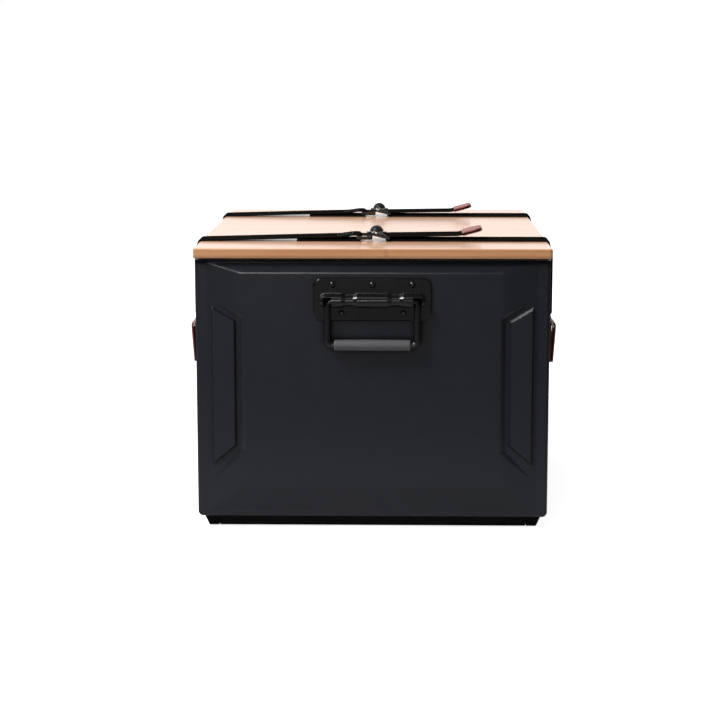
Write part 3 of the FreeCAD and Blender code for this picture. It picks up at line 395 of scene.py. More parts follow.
def thread(name, dark, pale):
    yarn = Finish(name, Specular_IOR_Level=0.35, Sheen_Weight=0.3, Sheen_Roughness=0.4)
    twist = yarn.noise(yarn.place(), 2600.0, 1.0)
    gloss = yarn.spread(twist, 0.3, 0.7, 0.45, 0.65)
    normal = yarn.bump(twist, 0.00008, 0.6)
    return yarn.set(Base_Color=yarn.mix(twist, dark, pale), Roughness=gloss, Normal=normal)


WEBBING = webbing()
BLACK_THREAD = thread("black_thread", shade(0.012, 0.011, 0.010), shade(0.035, 0.032, 0.030))
BROWN_THREAD = thread("brown_thread", shade(0.10, 0.040, 0.025), shade(0.20, 0.09, 0.055))
print("webbing and threads ready")

# %% [markdown]
# ## Leather
# The pulls and the strap tips are vegetable-tanned leather, red-brown, with pores and creases on
# the grain side and a finer, darker cut edge. Voronoi cells make the grain, and a slow noise
# the uneven dye. The cut edge is a finish of its own, on its own faces.


# %% Leather
def leather(name, dark, pale, low, high, grain_size):
    hide = Finish(name, Specular_IOR_Level=0.45)
    spot = hide.place()
    cells = hide.cells(spot, grain_size)
    dye = hide.noise(spot, 60.0, 4.0, 0.6)
    creases = hide.noise(hide.place((300.0, 90.0, 90.0)), 1.0, 4.0)
    tint = hide.mix(hide.spread(dye, 0.3, 0.7), dark, pale)
    # Painted shade: the creases between the grain's cells are tinted darker.
    tint = hide.mix(hide.spread(cells, 0.0, 0.12, 0.5, 0.0), tint, shade(0.03, 0.010, 0.007))
    gloss = hide.spread(creases, 0.3, 0.7, low, high)
    height = hide.maths("ADD", hide.spread(cells, 0.0, 0.2), hide.maths("MULTIPLY", creases, 0.5))
    return hide.set(Base_Color=tint, Roughness=gloss, Normal=hide.bump(height, 0.00018, 0.7))


LEATHER = leather("tanned_leather", shade(0.22, 0.040, 0.036), shade(0.37, 0.088, 0.078),
                  0.34, 0.50, 750.0)
LEATHER_EDGE = leather("leather_cut_edge", shade(0.15, 0.034, 0.029), shade(0.26, 0.070, 0.060),
                       0.45, 0.60, 1500.0)
print("leather ready")

# %% [markdown]
# ## Finishes for the CAD pieces that stay
# Rigid pieces keep their CAD mesh: the shape is exact and its bends are already round. Only the
# material in their slots changes, so nothing moves and nothing is reshaped.

# %% Dress the CAD pieces
STAYING = dict.fromkeys(PANELS, POWDER_COAT)
STAYING |= dict.fromkeys(("floor_pan", "corner_posts", "rim_frame"), BARE_ALUMINIUM)
# Painted shade: the plinth rails are a dark piece standing in for the shade under the box.
STAYING |= {"lid_board": BAMBOO, "lid_cleats": BAMBOO, "plinth_rails": FOOT_PLASTIC}
AT_EACH_END = {"handle_backing": BARE_ALUMINIUM, "handle_plate": HANDLE_ENAMEL,
               "handle_bail": HANDLE_ENAMEL, "buckle_plate": BUCKLE_BLACK, "buckle_knob": BUCKLE_BLACK,
               "buckle_collar": BRIGHT_STEEL, "strap_ring": BUCKLE_BLACK}
for end in ENDS:
    STAYING |= {f"{end}_{part}": finish for part, finish in AT_EACH_END.items()}
    for side in SIDES:
        STAYING |= {f"foot_{end}_{side}": FOOT_PLASTIC, f"{end}_{side}_hook": BRIGHT_STEEL,
                    f"{end}_{side}_catch": BRIGHT_STEEL}
for name, finish in STAYING.items():
    mesh = NODES[name].data
    mesh.materials.clear()
    mesh.materials.append(finish)
print("CAD pieces dressed:", len(STAYING), "still to make anew:", len(NODES) - len(STAYING))

# %% [markdown]
# ## A band that follows a bent line
# Straps and pulls are flat bands folded round bars. Each could be a curve with a bevel, but then
# the weave would not know its own length. Here the line is drawn as corners with bend radii, as
# the CAD does, and a rounded cross-section is carried along it. The UV map holds metres: across
# the band in U, along it in V.

# %% Bent lines and bands
STEP = 0.0010
LONGEST = 0.006
SIDE_CUTS = 12
EDGE_CUTS = 4


def bent_line(corners, radii):
    """Points in the XZ plane along a line with its inner corners rounded."""
    corners = [Vector(corner) for corner in corners]
    line = [corners[0]]
    for before, corner, after, radius in zip(corners, corners[1:], corners[2:], radii):
        run = (corner - before).normalized()
        away = (after - corner).normalized()
        turn = run.angle(away)
        inward = (away - run * run.dot(away)).normalized()
        start = corner - run * (radius * math.tan(turn / 2))
        centre = start + inward * radius
        count = max(3, math.ceil(radius * turn / STEP))
        for i in range(count + 1):
            angle = turn * i / count
            line.append(centre + (run * math.sin(angle) - inward * math.cos(angle)) * radius)
    line.append(corners[-1])
    even = [line[0]]
    for here, there in zip(line, line[1:]):
        gap = (there - here).length
        if gap < 1e-6:
            continue
        count = max(1, math.ceil(gap / LONGEST))
        even.extend(here.lerp(there, i / count) for i in range(1, count + 1))
    return even


def lengths_and_normals(line):
    """Distance from the start, and the direction square to the line, at each point."""
    lengths = [0.0]
    for here, there in zip(line, line[1:]):
        lengths.append(lengths[-1] + (there - here).length)
    normals = []
    for i in range(len(line)):
        run = (line[min(i + 1, len(line) - 1)] - line[max(i - 1, 0)]).normalized()
        normals.append(Vector((-run.y, run.x)))
    return lengths, normals


def band_section(width, thick):
    """Rounded cross-section as (across, up) pairs."""
    flat = width / 2 - thick / 2
    section = [(flat - 2 * flat * i / SIDE_CUTS, thick / 2) for i in range(SIDE_CUTS + 1)]
    for i in range(1, EDGE_CUTS):
        angle = math.pi * i / EDGE_CUTS
        section.append((-flat - math.sin(angle) * thick / 2, math.cos(angle) * thick / 2))
    return section + [(-across, -up) for across, up in section]


def new_mesh(name, points, edges, faces):
    mesh = bpy.data.meshes.new(name)
    mesh.from_pydata(points, edges, faces)
    return mesh


def make_outward(mesh, merge=False):
    work = bmesh.new()
    work.from_mesh(mesh)
    if merge:
        bmesh.ops.remove_doubles(work, verts=work.verts, dist=1e-7)
        bmesh.ops.dissolve_degenerate(work, edges=work.edges, dist=1e-8)
    bmesh.ops.recalc_face_normals(work, faces=work.faces)
    work.to_mesh(mesh)
    work.free()


def new_piece(name, mesh, body, finishes):
    for finish in finishes:
        mesh.materials.append(finish)
    piece = bpy.data.objects.new(name, mesh)
    show(piece)
    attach(piece, body)
    return piece


def ring_faces(rings, count):
    """Faces between neighbouring rings of points."""
    faces = []
    for low in range(0, (rings - 1) * count, count):
        for i in range(count):
            j = (i + 1) % count
            faces.append((low + i, low + j, low + count + j, low + count + i))
    return faces


def band_mesh(name, line, y_mid, width, thick):
    section = band_section(width, thick)
    lengths, normals = lengths_and_normals(line)
    count = len(section)
    points = []
    for spot, normal in zip(line, normals):
        for across, up in section:
            place = spot + normal * up
            points.append((place.x, y_mid + across, place.y))
    faces = ring_faces(len(line), count)
    last = (len(line) - 1) * count
    faces.append(tuple(range(count - 1, -1, -1)))
    faces.append(tuple(range(last, last + count)))
    mesh = new_mesh(name, points, [], faces)
    mesh.polygons.foreach_set("use_smooth", [True] * (len(faces) - 2) + [False, False])
    uv = mesh.uv_layers.new(name="metres").data
    for loop in mesh.loops:
        row, i = divmod(loop.vertex_index, count)
        uv[loop.index].uv = (section[i][0], lengths[row])
    cut = width / 2 - thick * 0.55
    for face in mesh.polygons:
        face.material_index = int(all(abs(points[v][1] - y_mid) > cut for v in face.vertices))
    make_outward(mesh)
    return mesh


print("bands: steps of", STEP * 1000, "mm in bends")

# %% [markdown]
# ## The four strap halves
# Each strap is two halves. The right half comes up the wall, runs over the lid, turns round the
# buckle's bar and ends in a loose tail. The left half ends in a sewn loop that holds a ring. Their
# routes repeat the CAD's corner points, in metres, so the webbing lies just where its solid is.

# %% Strap halves
STRAP_W = 0.038
STRAP_T = 0.0020
REST = 0.0003
LOOP_R = 0.00245
RING_LOOP_R = 0.0031
ROUND = 0.999
BUCKLE_X = 0.017
RING_X = 0.0175
TAIL_BEND_X = 0.097
TAIL_RISE = 0.0012
TAIL_ANGLE = math.radians(15.0)
TAIL_END = 0.024
STRAP_FLARE = 0.016
HOOK_LAP = 0.024
LID_BEND_R = 0.003
SOFT_BEND_R = 0.020
LEFT_TAIL = 0.0695
LOOP_FLAT = 0.006
LOOP_CLOSED = (0.020, 0.0042)
LID_TOP = BOARD_HIGH.z
WEB_Z = LID_TOP + REST + STRAP_T / 2
HINGES = {joint["name"]: Vector(joint["pos_m"]) for joint in frame["joints"] if "pos_m" in joint}
STRAP_Y = {end: HINGES[f"{end}_right_hook_swing"].y for end in ENDS}
HOOK = HINGES["front_right_hook_swing"]


def drop_corners():
    """From the lid's edge down to the hook's bar, round it and up again."""
    outer = HOOK.x + LOOP_R
    inner = HOOK.x - LOOP_R
    corners = [(BOARD_HIGH.x + REST + STRAP_T / 2, WEB_Z), (outer, LID_TOP - STRAP_FLARE),
               (outer, HOOK.z - LOOP_R), (inner, HOOK.z - LOOP_R), (inner, HOOK.z + HOOK_LAP)]
    return corners, [LID_BEND_R, SOFT_BEND_R, ROUND * LOOP_R, ROUND * LOOP_R]


def tail_corner(along):
    return (TAIL_BEND_X + math.cos(TAIL_ANGLE) * along,
            WEB_Z + 2 * LOOP_R + TAIL_RISE + math.sin(TAIL_ANGLE) * along)


def right_half_line():
    turn = BUCKLE_X - LOOP_R
    corners, radii = drop_corners()
    tail = [tail_corner(TAIL_END), tail_corner(0.0), (turn, WEB_Z + 2 * LOOP_R), (turn, WEB_Z)]
    return bent_line(tail + corners, [SOFT_BEND_R, ROUND * LOOP_R, ROUND * LOOP_R] + radii)


def left_half_line():
    turn = RING_X - RING_LOOP_R
    high = WEB_Z + 2 * RING_LOOP_R
    corners, radii = drop_corners()
    loop = [(RING_X + LEFT_TAIL, WEB_Z), (turn, WEB_Z), (turn, high), (RING_X + LOOP_FLAT, high),
            (RING_X + LOOP_CLOSED[0], WEB_Z + LOOP_CLOSED[1])]
    bends = [ROUND * RING_LOOP_R, ROUND * RING_LOOP_R, SOFT_BEND_R, SOFT_BEND_R]
    line = bent_line(loop + corners, bends + radii)
    return [Vector((-spot.x, spot.y)) for spot in line]


LINES = {"right": right_half_line(), "left": left_half_line()}
for end in ENDS:
    for side in SIDES:
        node = f"{end}_strap_{side}"
        mesh = band_mesh(node + "_webbing", LINES[side], STRAP_Y[end], STRAP_W, STRAP_T)
        piece = new_piece(node + "_webbing", mesh, "lid", [WEBBING, WEBBING])
        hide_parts(node)
print("strap halves: right", len(LINES["right"]), "rows, left", len(LINES["left"]), "rows")

# %% [markdown]
# ## Leather pulls and strap tips
# A pull is one strip of leather folded over the hook's lower bar, its leaves sewn together below.
# It is a band like the webbing, only thicker. The tip on the loose tail is two leaves with the
# webbing between them, cut to one outline, so it is stacked from rings of that outline: each leaf
# has rounded lips, and a fine groove shows where the leaves meet.

# %% Pulls
PULL_T = 0.0022
PULL_W = 0.030
PULL_BAR_R = 0.00125
PULL_EASE = 0.0002
PULL_FOLD = PULL_BAR_R + PULL_EASE + PULL_T / 2
PULL_BAR = (HOOK.x + 0.0050, HOOK.z - 0.0160)
PULL_LEAN = 0.0015
PULL_DROP = 0.0425
PULL_BEND_R = 0.008


def pull_line():
    x, z = PULL_BAR
    foot_x = x - PULL_LEAN
    foot_z = z - PULL_DROP
    near = PULL_T / 2 + REST / 2
    corners = [(foot_x + near, foot_z), (x + PULL_FOLD, z - PULL_FOLD), (x + PULL_FOLD, z + PULL_FOLD),
               (x - PULL_FOLD, z + PULL_FOLD), (x - PULL_FOLD, z - PULL_FOLD), (foot_x - near, foot_z)]
    return bent_line(corners, [PULL_BEND_R, ROUND * PULL_FOLD, ROUND * PULL_FOLD, PULL_BEND_R])


PULL_LINES = {"right": pull_line()}
PULL_LINES["left"] = [Vector((-spot.x, spot.y)) for spot in PULL_LINES["right"]]
for end in ENDS:
    for side in SIDES:
        node = f"{end}_{side}_pull"
        mesh = band_mesh(node + "_leather", PULL_LINES[side], STRAP_Y[end], PULL_W, PULL_T)
        piece = new_piece(node + "_leather", mesh, f"{end}_{side}_hook", [LEATHER, LEATHER_EDGE])
        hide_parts(node)
print("pulls:", len(ENDS) * len(SIDES), "each", len(PULL_LINES["right"]), "rows")

# %% Strap tips
TIP_START = 0.004
TIP_END = 0.027
TIP_HALF = STRAP_W / 2 - 0.0005
TIP_CORNER = 0.008
TIP_LIP = 0.0005
TIP_LEAF = 0.0011
TIP_GROOVE = 0.0003
CORNER_CUTS = 8


def tip_outline(inset):
    """Outline of the leather as (along, across), drawn in by the inset."""
    start = TIP_START + inset
    stop = TIP_END - inset
    half = TIP_HALF - inset
    corner = TIP_CORNER - inset
    outline = [(start, -half)]
    for side, first in ((-1, -90.0), (1, 0.0)):
        for i in range(CORNER_CUTS + 1):
            angle = math.radians(first + 90.0 * i / CORNER_CUTS)
            outline.append((stop - corner + corner * math.cos(angle),
                            side * (half - corner) + corner * math.sin(angle)))
    return outline + [(start, half)]


def tip_mesh(name, y_mid):
    half = STRAP_T / 2 + TIP_LEAF
    levels = [(-half, 2 * TIP_LIP), (-half + TIP_LIP * 0.4, TIP_LIP * 0.5), (-half + TIP_LIP, 0.0),
              (-TIP_GROOVE, 0.0), (0.0, TIP_GROOVE)]
    levels += [(-up, inset) for up, inset in reversed(levels[:-1])]
    base = Vector(tail_corner(0.0))
    run = Vector((math.cos(TAIL_ANGLE), math.sin(TAIL_ANGLE)))
    normal = Vector((-run.y, run.x))
    points = []
    for up, inset in levels:
        outline = tip_outline(inset)
        for along, across in outline:
            spot = base + run * along + normal * up
            points.append((spot.x, y_mid + across, spot.y))
    count = len(outline)
    faces = ring_faces(len(levels), count)
    last = (len(levels) - 1) * count
    faces.append(tuple(range(count)))
    faces.append(tuple(range(last, last + count)))
    mesh = new_mesh(name, points, [], faces)
    edge_rings = range(2, len(levels) - 3)
    for face in mesh.polygons:
        ring = face.index // count
        face.material_index = int(ring in edge_rings)
        face.use_smooth = face.index < len(faces) - 2
    make_outward(mesh)
    return mesh


for end in ENDS:
    node = f"{end}_strap_tip"
    piece = new_piece(node + "_leather", tip_mesh(node + "_leather", STRAP_Y[end]), "lid",
                      [LEATHER, LEATHER_EDGE])
    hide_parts(node)
print("strap tips: outline of", len(tip_outline(0.0)), "points")

# %% [markdown]
# ## Gasket and grips
# The gasket is a soft rubber bead on the rim, rounded on top, mitred at the corners. It is one
# rounded profile carried round a rectangle. Each grip is a rubber sleeve on the bail's rod, turned
# about the rod's line like a piece on a lathe, with softly rolled ends and a faint swell.

# %% Gasket
GASKET_LOW, GASKET_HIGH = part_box("rim_gasket")
GASKET_W = 0.009
GASKET_CUTS = 10
SQUARE = ((-1, -1), (1, -1), (1, 1), (-1, 1))
GASKET_WALL = 0.45


def gasket_mesh(name):
    tall = GASKET_HIGH.z - GASKET_LOW.z
    wall = tall * GASKET_WALL
    section = [(0.0, 0.0), (0.0, wall)]
    for i in range(1, GASKET_CUTS):
        angle = math.pi * i / GASKET_CUTS
        crown = (tall - wall) * math.sin(angle)
        section.append((GASKET_W / 2 * (1 - math.cos(angle)), wall + crown))
    section += [(GASKET_W, wall), (GASKET_W, 0.0)]
    points = []
    for inward, up in section:
        for sx, sy in SQUARE:
            points.append((sx * (GASKET_HIGH.x - inward), sy * (GASKET_HIGH.y - inward),
                           GASKET_LOW.z + up))
    faces = []
    for i in range(len(section)):
        j = (i + 1) % len(section)
        for k in range(4):
            m = (k + 1) % 4
            faces.append((4 * i + k, 4 * i + m, 4 * j + m, 4 * j + k))
    mesh = new_mesh(name, points, [], faces)
    make_outward(mesh)
    return mesh


gasket = new_piece("rim_gasket_bead", gasket_mesh("rim_gasket_bead"), "box", [GASKET_RUBBER])
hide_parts("rim_gasket")
print("gasket:", len(gasket.data.polygons), "faces")

# %% Grips
GRIP_BORE = 0.0038
GRIP_ROLL = 0.0014
GRIP_SWELL = 0.00025
GRIP_CUTS = 40
AROUND = 48


def lathe(name, profile, around, place):
    """Closed profile of (along, radius) pairs turned about an axis. place maps a turned
    point (along, a, b) to the row frame. A third value is a number of flats."""
    count = len(profile)
    points = []
    for k in range(around):
        angle = 2 * math.pi * k / around
        for along, radius, *flats in profile:
            if flats:
                wedge = 2 * math.pi / flats[0]
                radius = radius / math.cos(angle % wedge - wedge / 2)
            points.append(place(along, radius * math.cos(angle), radius * math.sin(angle)))
    faces = []
    for k in range(around):
        m = (k + 1) % around
        for i in range(count):
            j = (i + 1) % count
            faces.append((k * count + i, k * count + j, m * count + j, m * count + i))
    mesh = new_mesh(name, points, [], faces)
    make_outward(mesh, merge=True)
    mesh.polygons.foreach_set("use_smooth", [True] * len(mesh.polygons))
    mesh.set_sharp_from_angle(angle=math.radians(35.0))
    return mesh


def grip_profile(half, radius):
    profile = [(-half, GRIP_BORE)]
    for i in range(7):
        angle = math.radians(90.0 * i / 6)
        profile.append((-half + GRIP_ROLL * (1 - math.cos(angle)),
                        radius - GRIP_SWELL - GRIP_ROLL * (1 - math.sin(angle))))
    body = half - GRIP_ROLL
    for i in range(1, GRIP_CUTS):
        share = i / GRIP_CUTS
        waist = GRIP_SWELL * abs(math.cos(math.pi * share)) ** 3
        profile.append((-body + 2 * body * share, radius - waist))
    return profile + [(-along, size) for along, size in reversed(profile[:8])]


for end in ENDS:
    node = f"{end}_handle_grip"
    low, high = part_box(node)
    middle = (low + high) / 2
    profile = grip_profile(high.x, (high.z - low.z) / 2)
    mesh = lathe(node + "_sleeve", profile, AROUND,
                 lambda along, a, b: (along, middle.y + a, middle.z + b))
    piece = new_piece(node + "_sleeve", mesh, f"{end}_bail", [GRIP_RUBBER])
    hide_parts(node)
    print(node, "sleeve of", round(2 * high.x * 1000, 1), "mm")

# %% [markdown]
# ## Geometry Nodes: one builder for two trees
# Rivets, screws and stitches repeat, so Geometry Nodes set them out: one shape, many places. A
# tree is wired in the script with named inputs. The result is then turned into a plain mesh, so
# that it can ride on its body like any other piece.


# %% Tree builder
class Growth:
    """A Geometry Nodes tree with named inputs."""

    def __init__(self, name, inputs):
        self.group = bpy.data.node_groups.new(name, "GeometryNodeTree")
        sockets = self.group.interface
        sockets.new_socket("Geometry", in_out="INPUT", socket_type="NodeSocketGeometry")
        self.ids = {}
        for label, (kind, default) in inputs.items():
            socket = sockets.new_socket(label, in_out="INPUT", socket_type="NodeSocket" + kind)
            if default is not None:
                socket.default_value = default
            self.ids[label] = socket.identifier
        sockets.new_socket("Geometry", in_out="OUTPUT", socket_type="NodeSocketGeometry")
        self.inputs = self.group.nodes.new("NodeGroupInput").outputs
        self.result = self.group.nodes.new("NodeGroupOutput").inputs[0]

    def add(self, kind, inputs, **settings):
        node = self.group.nodes.new(kind)
        for name, value in settings.items():
            setattr(node, name, value)
        for key, value in inputs.items():
            if isinstance(value, bpy.types.NodeSocket):
                self.group.links.new(value, node.inputs[key])
            else:
                node.inputs[key].default_value = value
        return node.outputs

    def finish(self, instances):
        whole = self.add("GeometryNodeRealizeInstances", {0: instances})[0]
        inputs = {"Geometry": whole, "Material": self.inputs["Finish"]}
        self.group.links.new(self.add("GeometryNodeSetMaterial", inputs)[0], self.result)

    def grow(self, name, guide, **values):
        """Plain mesh of the tree's result on a guide mesh."""
        holder = bpy.data.objects.new(name + "_guide", guide)
        show(holder)
        modifier = holder.modifiers.new("growth", "NODES")
        modifier.node_group = self.group
        for label, value in values.items():
            modifier[self.ids[label.replace("_", " ")]] = value
        graph = bpy.context.evaluated_depsgraph_get()
        mesh = bpy.data.meshes.new_from_object(holder.evaluated_get(graph), depsgraph=graph)
        mesh.name = name
        bpy.data.objects.remove(holder)
        return mesh


print("tree builder ready")

# %% [markdown]
# ## Rivets and screws
# The handles and catches are riveted, the feet and the lid's cleats are screwed. Each kind is
# turned once on the lathe. The tree puts a copy at every point of a guide mesh, aims it along the
# point's own direction, and turns it by a random angle, as no fitter lines up screw heads.

# %% Fastener tree
FASTENERS = Growth("fasteners", {"Fastener": ("Object", None), "Seed": ("Int", 7),
                                 "Finish": ("Material", None)})
aim = FASTENERS.add("GeometryNodeInputNamedAttribute", {"Name": "aim"},
                    data_type="FLOAT_VECTOR")["Attribute"]
aimed = FASTENERS.add("FunctionNodeAlignRotationToVector", {"Vector": aim}, axis="Z")[0]
spin = FASTENERS.add("FunctionNodeRandomValue",
                     {"Seed": FASTENERS.inputs["Seed"], 2: 0.0, 3: 2 * math.pi}, data_type="FLOAT")[1]
turned = FASTENERS.add("FunctionNodeAxisAngleToRotation", {"Axis": (0.0, 0.0, 1.0), "Angle": spin})[0]
facing = FASTENERS.add("FunctionNodeRotateRotation", {0: aimed, 1: turned}, rotation_space="LOCAL")[0]
shape = FASTENERS.add("GeometryNodeObjectInfo", {"Object": FASTENERS.inputs["Fastener"]})["Geometry"]
copies = {"Points": FASTENERS.inputs["Geometry"], "Instance": shape, "Rotation": facing}
FASTENERS.finish(FASTENERS.add("GeometryNodeInstanceOnPoints", copies)[0])
print("fastener tree:", len(FASTENERS.group.nodes), "nodes")

# %% Fasteners in place
DOME_CUTS = 6
FASTENER_AROUND = 24
RIVET_R = 0.0036
RIVET_HEAD = 0.0018
RIVET_SHANK_R = 0.0020
RIVET_FOOT_R = 0.0030
RIVET_FOOT_BREAK = (0.0012, 0.0026)
RIVET_TAIL = 0.0015
FOOT_SCREW_R = 0.0034
FOOT_SCREW_HEAD = 0.0025
FOOT_SCREW_FLAT = 0.0019
FOOT_SHANK_R = 0.0020
FOOT_TIP = (0.0004, 0.0016)
FOOT_SOCKET = (0.0015, 0.0013)
CLEAT_HEAD = (0.0036, 0.0024)
CLEAT_SHANK_R = 0.00175
CLEAT_POINT = (0.003, 0.0002)
CLEAT_SOCKET = (0.0014, 0.0011)


def dome(radius, height):
    """Profile of a cap, from its crown to its rim."""
    ball = (radius ** 2 + height ** 2) / (2 * height)
    reach = math.asin(radius / ball)
    angles = [reach * i / DOME_CUTS for i in range(DOME_CUTS + 1)]
    return [(height - ball + ball * math.cos(angle), ball * math.sin(angle)) for angle in angles]


def rivet_profile(grip):
    below, drawn_in = RIVET_FOOT_BREAK
    tail = [(0.0, RIVET_SHANK_R), (-grip, RIVET_SHANK_R), (-grip, RIVET_FOOT_R),
            (-grip - below, RIVET_FOOT_R), (-grip - RIVET_TAIL, drawn_in), (-grip - RIVET_TAIL, 0.0)]
    return dome(RIVET_R, RIVET_HEAD) + tail


def socket_profile(depth, flat):
    """Hexagon socket in a screw's head, from its floor to its rim at height 0."""
    return [(-depth, 0.0), (-depth, flat, 6), (0.0, flat, 6)]


def foot_screw_profile(shank):
    cap = [(up, r) for up, r in dome(FOOT_SCREW_R, FOOT_SCREW_HEAD) if r > FOOT_SCREW_FLAT]
    top = cap[0][0]
    socket = [(up + top, *rest) for up, *rest in socket_profile(*FOOT_SOCKET)]
    tip, tip_r = FOOT_TIP
    body = [(0.0, FOOT_SHANK_R), (-shank, FOOT_SHANK_R), (-shank - tip, tip_r), (-shank - tip, 0.0)]
    return socket + cap + body


def cleat_screw_profile(shank):
    head_r, sunk = CLEAT_HEAD
    point, point_r = CLEAT_POINT
    body = [(0.0, head_r), (-sunk, CLEAT_SHANK_R), (-shank + point, CLEAT_SHANK_R), (-shank, point_r),
            (-shank, 0.0)]
    return socket_profile(*CLEAT_SOCKET) + body


def solids_of(node):
    """Boxes of a CAD node's separate solids."""
    work = bmesh.new()
    work.from_mesh(NODES[node].data)
    bmesh.ops.remove_doubles(work, verts=work.verts, dist=1e-6)
    left = set(work.verts)
    boxes = []
    while left:
        island = [left.pop()]
        for vert in island:
            for edge in vert.link_edges:
                other = edge.other_vert(vert)
                if other in left:
                    left.remove(other)
                    island.append(other)
        low = Vector([min(vert.co[i] for vert in island) for i in range(3)])
        high = Vector([max(vert.co[i] for vert in island) for i in range(3)])
        boxes.append((low, high))
    work.free()
    return sorted(boxes, key=lambda box: tuple(round(value, 4) for value in box[0]))


def fasten(node, body, finish, profile, head, direction, beyond):
    """Replaces a node of fasteners: head is the cap's height, beyond what the profile adds
    to the shank's length, and direction gives the way a head at some place points."""
    boxes = solids_of(node)
    seats = []
    ways = []
    for low, high in boxes:
        middle = (low + high) / 2
        way = direction(middle)
        reach = abs((high - low).dot(way)) / 2
        seats.append(middle + way * (reach - head))
        ways.append(way)
        length = 2 * reach - head
    guide = new_mesh(node + "_places", seats, [], [])
    aims = guide.attributes.new("aim", "FLOAT_VECTOR", "POINT").data
    aims.foreach_set("vector", [value for way in ways for value in way])
    mould = lathe(node + "_mould", profile(length - beyond), FASTENER_AROUND,
                  lambda along, a, b: (a, b, along))
    sample = bpy.data.objects.new(node + "_mould", mould)
    show(sample)
    name = node + "_set"
    mesh = FASTENERS.grow(name, guide, Fastener=sample, Finish=finish)
    bpy.data.objects.remove(sample)
    piece = new_piece(name, mesh, body, [])
    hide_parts(node)
    print(name, len(boxes), "pieces", len(mesh.polygons), "faces")


for end in ENDS:
    fasten(f"{end}_handle_rivets", "box", HANDLE_ENAMEL, rivet_profile, RIVET_HEAD,
           lambda spot: Vector((0.0, math.copysign(1.0, spot.y), 0.0)), RIVET_TAIL)
fasten("catch_rivets", "box", BRIGHT_STEEL, rivet_profile, RIVET_HEAD,
       lambda spot: Vector((math.copysign(1.0, spot.x), 0.0, 0.0)), RIVET_TAIL)
fasten("foot_screws", "box", ZINC_PLATE, foot_screw_profile, FOOT_SCREW_HEAD,
       lambda spot: Vector((0.0, 0.0, -1.0)), FOOT_TIP[0])
fasten("lid_cleat_screws", "lid", ZINC_PLATE, cleat_screw_profile, 0.0,
       lambda spot: Vector((0.0, 0.0, -1.0)), 0.0)

# %% [markdown]
# ## Stitches
# Sewn ends are boxes of lock-stitch with a cross in them, and leather is sewn along its edges. The
# tree takes guide lines, steps along them at the stitch pitch, and lays a small spindle of thread
# at every step, turned along the line. The guides lie on the band, found by length along it.

# %% Stitch tree
STITCHES = Growth("stitch_rows", {"Pitch": ("Float", 0.0032), "Stitch length": ("Float", 0.0024),
                                  "Thread radius": ("Float", 0.0003), "Finish": ("Material", None)})
path = STITCHES.add("GeometryNodeMeshToCurve", {0: STITCHES.inputs["Geometry"]})[0]
steps = STITCHES.add("GeometryNodeResampleCurve", {"Curve": path, "Length": STITCHES.inputs["Pitch"]},
                     mode="LENGTH")[0]
tangent = STITCHES.add("GeometryNodeInputTangent", {})[0]
lay = STITCHES.add("FunctionNodeAlignRotationToVector", {"Vector": tangent}, axis="X")[0]
half_length = STITCHES.add("ShaderNodeMath", {0: STITCHES.inputs["Stitch length"], 1: 0.5},
                           operation="MULTIPLY")[0]
size = STITCHES.add("ShaderNodeCombineXYZ", {0: half_length, 1: STITCHES.inputs["Thread radius"],
                                             2: STITCHES.inputs["Thread radius"]})[0]
spindle = STITCHES.add("GeometryNodeMeshUVSphere", {"Segments": 6, "Rings": 5, "Radius": 1.0})[0]
spindle = STITCHES.add("GeometryNodeSetShadeSmooth", {"Geometry": spindle})[0]
copies = {"Points": steps, "Instance": spindle, "Rotation": lay, "Scale": size}
STITCHES.finish(STITCHES.add("GeometryNodeInstanceOnPoints", copies)[0])
print("stitch tree:", len(STITCHES.group.nodes), "nodes")

# %% Stitch guides
GUIDE_STEP = 0.002


def on_band(line, y_mid, along, across, lift):
    """Point on a band's face, by length along its line and distance across it."""
    lengths, normals = lengths_and_normals(line)
    for i in range(len(line) - 1):
        if along <= lengths[i + 1]:
            break
    share = (along - lengths[i]) / (lengths[i + 1] - lengths[i])
    normal = normals[i].lerp(normals[i + 1], share).normalized()
    spot = line[i].lerp(line[i + 1], share) + normal * lift
    return Vector((spot.x, y_mid + across, spot.y))


def reach_of(line, test):
    """Length along a line where a test first holds."""
    lengths, _ = lengths_and_normals(line)
    return next(length for length, spot in zip(lengths, line) if test(spot))


def seam(line, y_mid, lift, stops):
    """Points from stop to stop, each stop an (along, across) pair."""
    points = []
    for (along, across), (to_along, to_across) in zip(stops, stops[1:]):
        gap = math.hypot(to_along - along, to_across - across)
        count = max(1, math.ceil(gap / GUIDE_STEP))
        for i in range(count):
            share = i / count
            points.append(on_band(line, y_mid, along + (to_along - along) * share,
                                  across + (to_across - across) * share, lift))
    points.append(on_band(line, y_mid, *stops[-1], lift))
    return points


def crossed_box(line, y_mid, lift, start, stop, half):
    corners = [(start, -half), (stop, -half), (stop, half), (start, half), (start, -half)]
    diagonals = [[(start, -half), (stop, half)], [(start, half), (stop, -half)]]
    return [seam(line, y_mid, lift, stops) for stops in [corners] + diagonals]


def sew(name, body, seams, finish):
    points = [spot for run in seams for spot in run]
    edges = []
    for run in seams:
        first = len(edges) and edges[-1][1] + 1
        edges += [(first + i, first + i + 1) for i in range(len(run) - 1)]
    guide = new_mesh(name + "_guide", points, edges, [])
    mesh = STITCHES.grow(name, guide, Finish=finish)
    piece = new_piece(name, mesh, body, [])
    print(name, len(mesh.polygons), "faces")


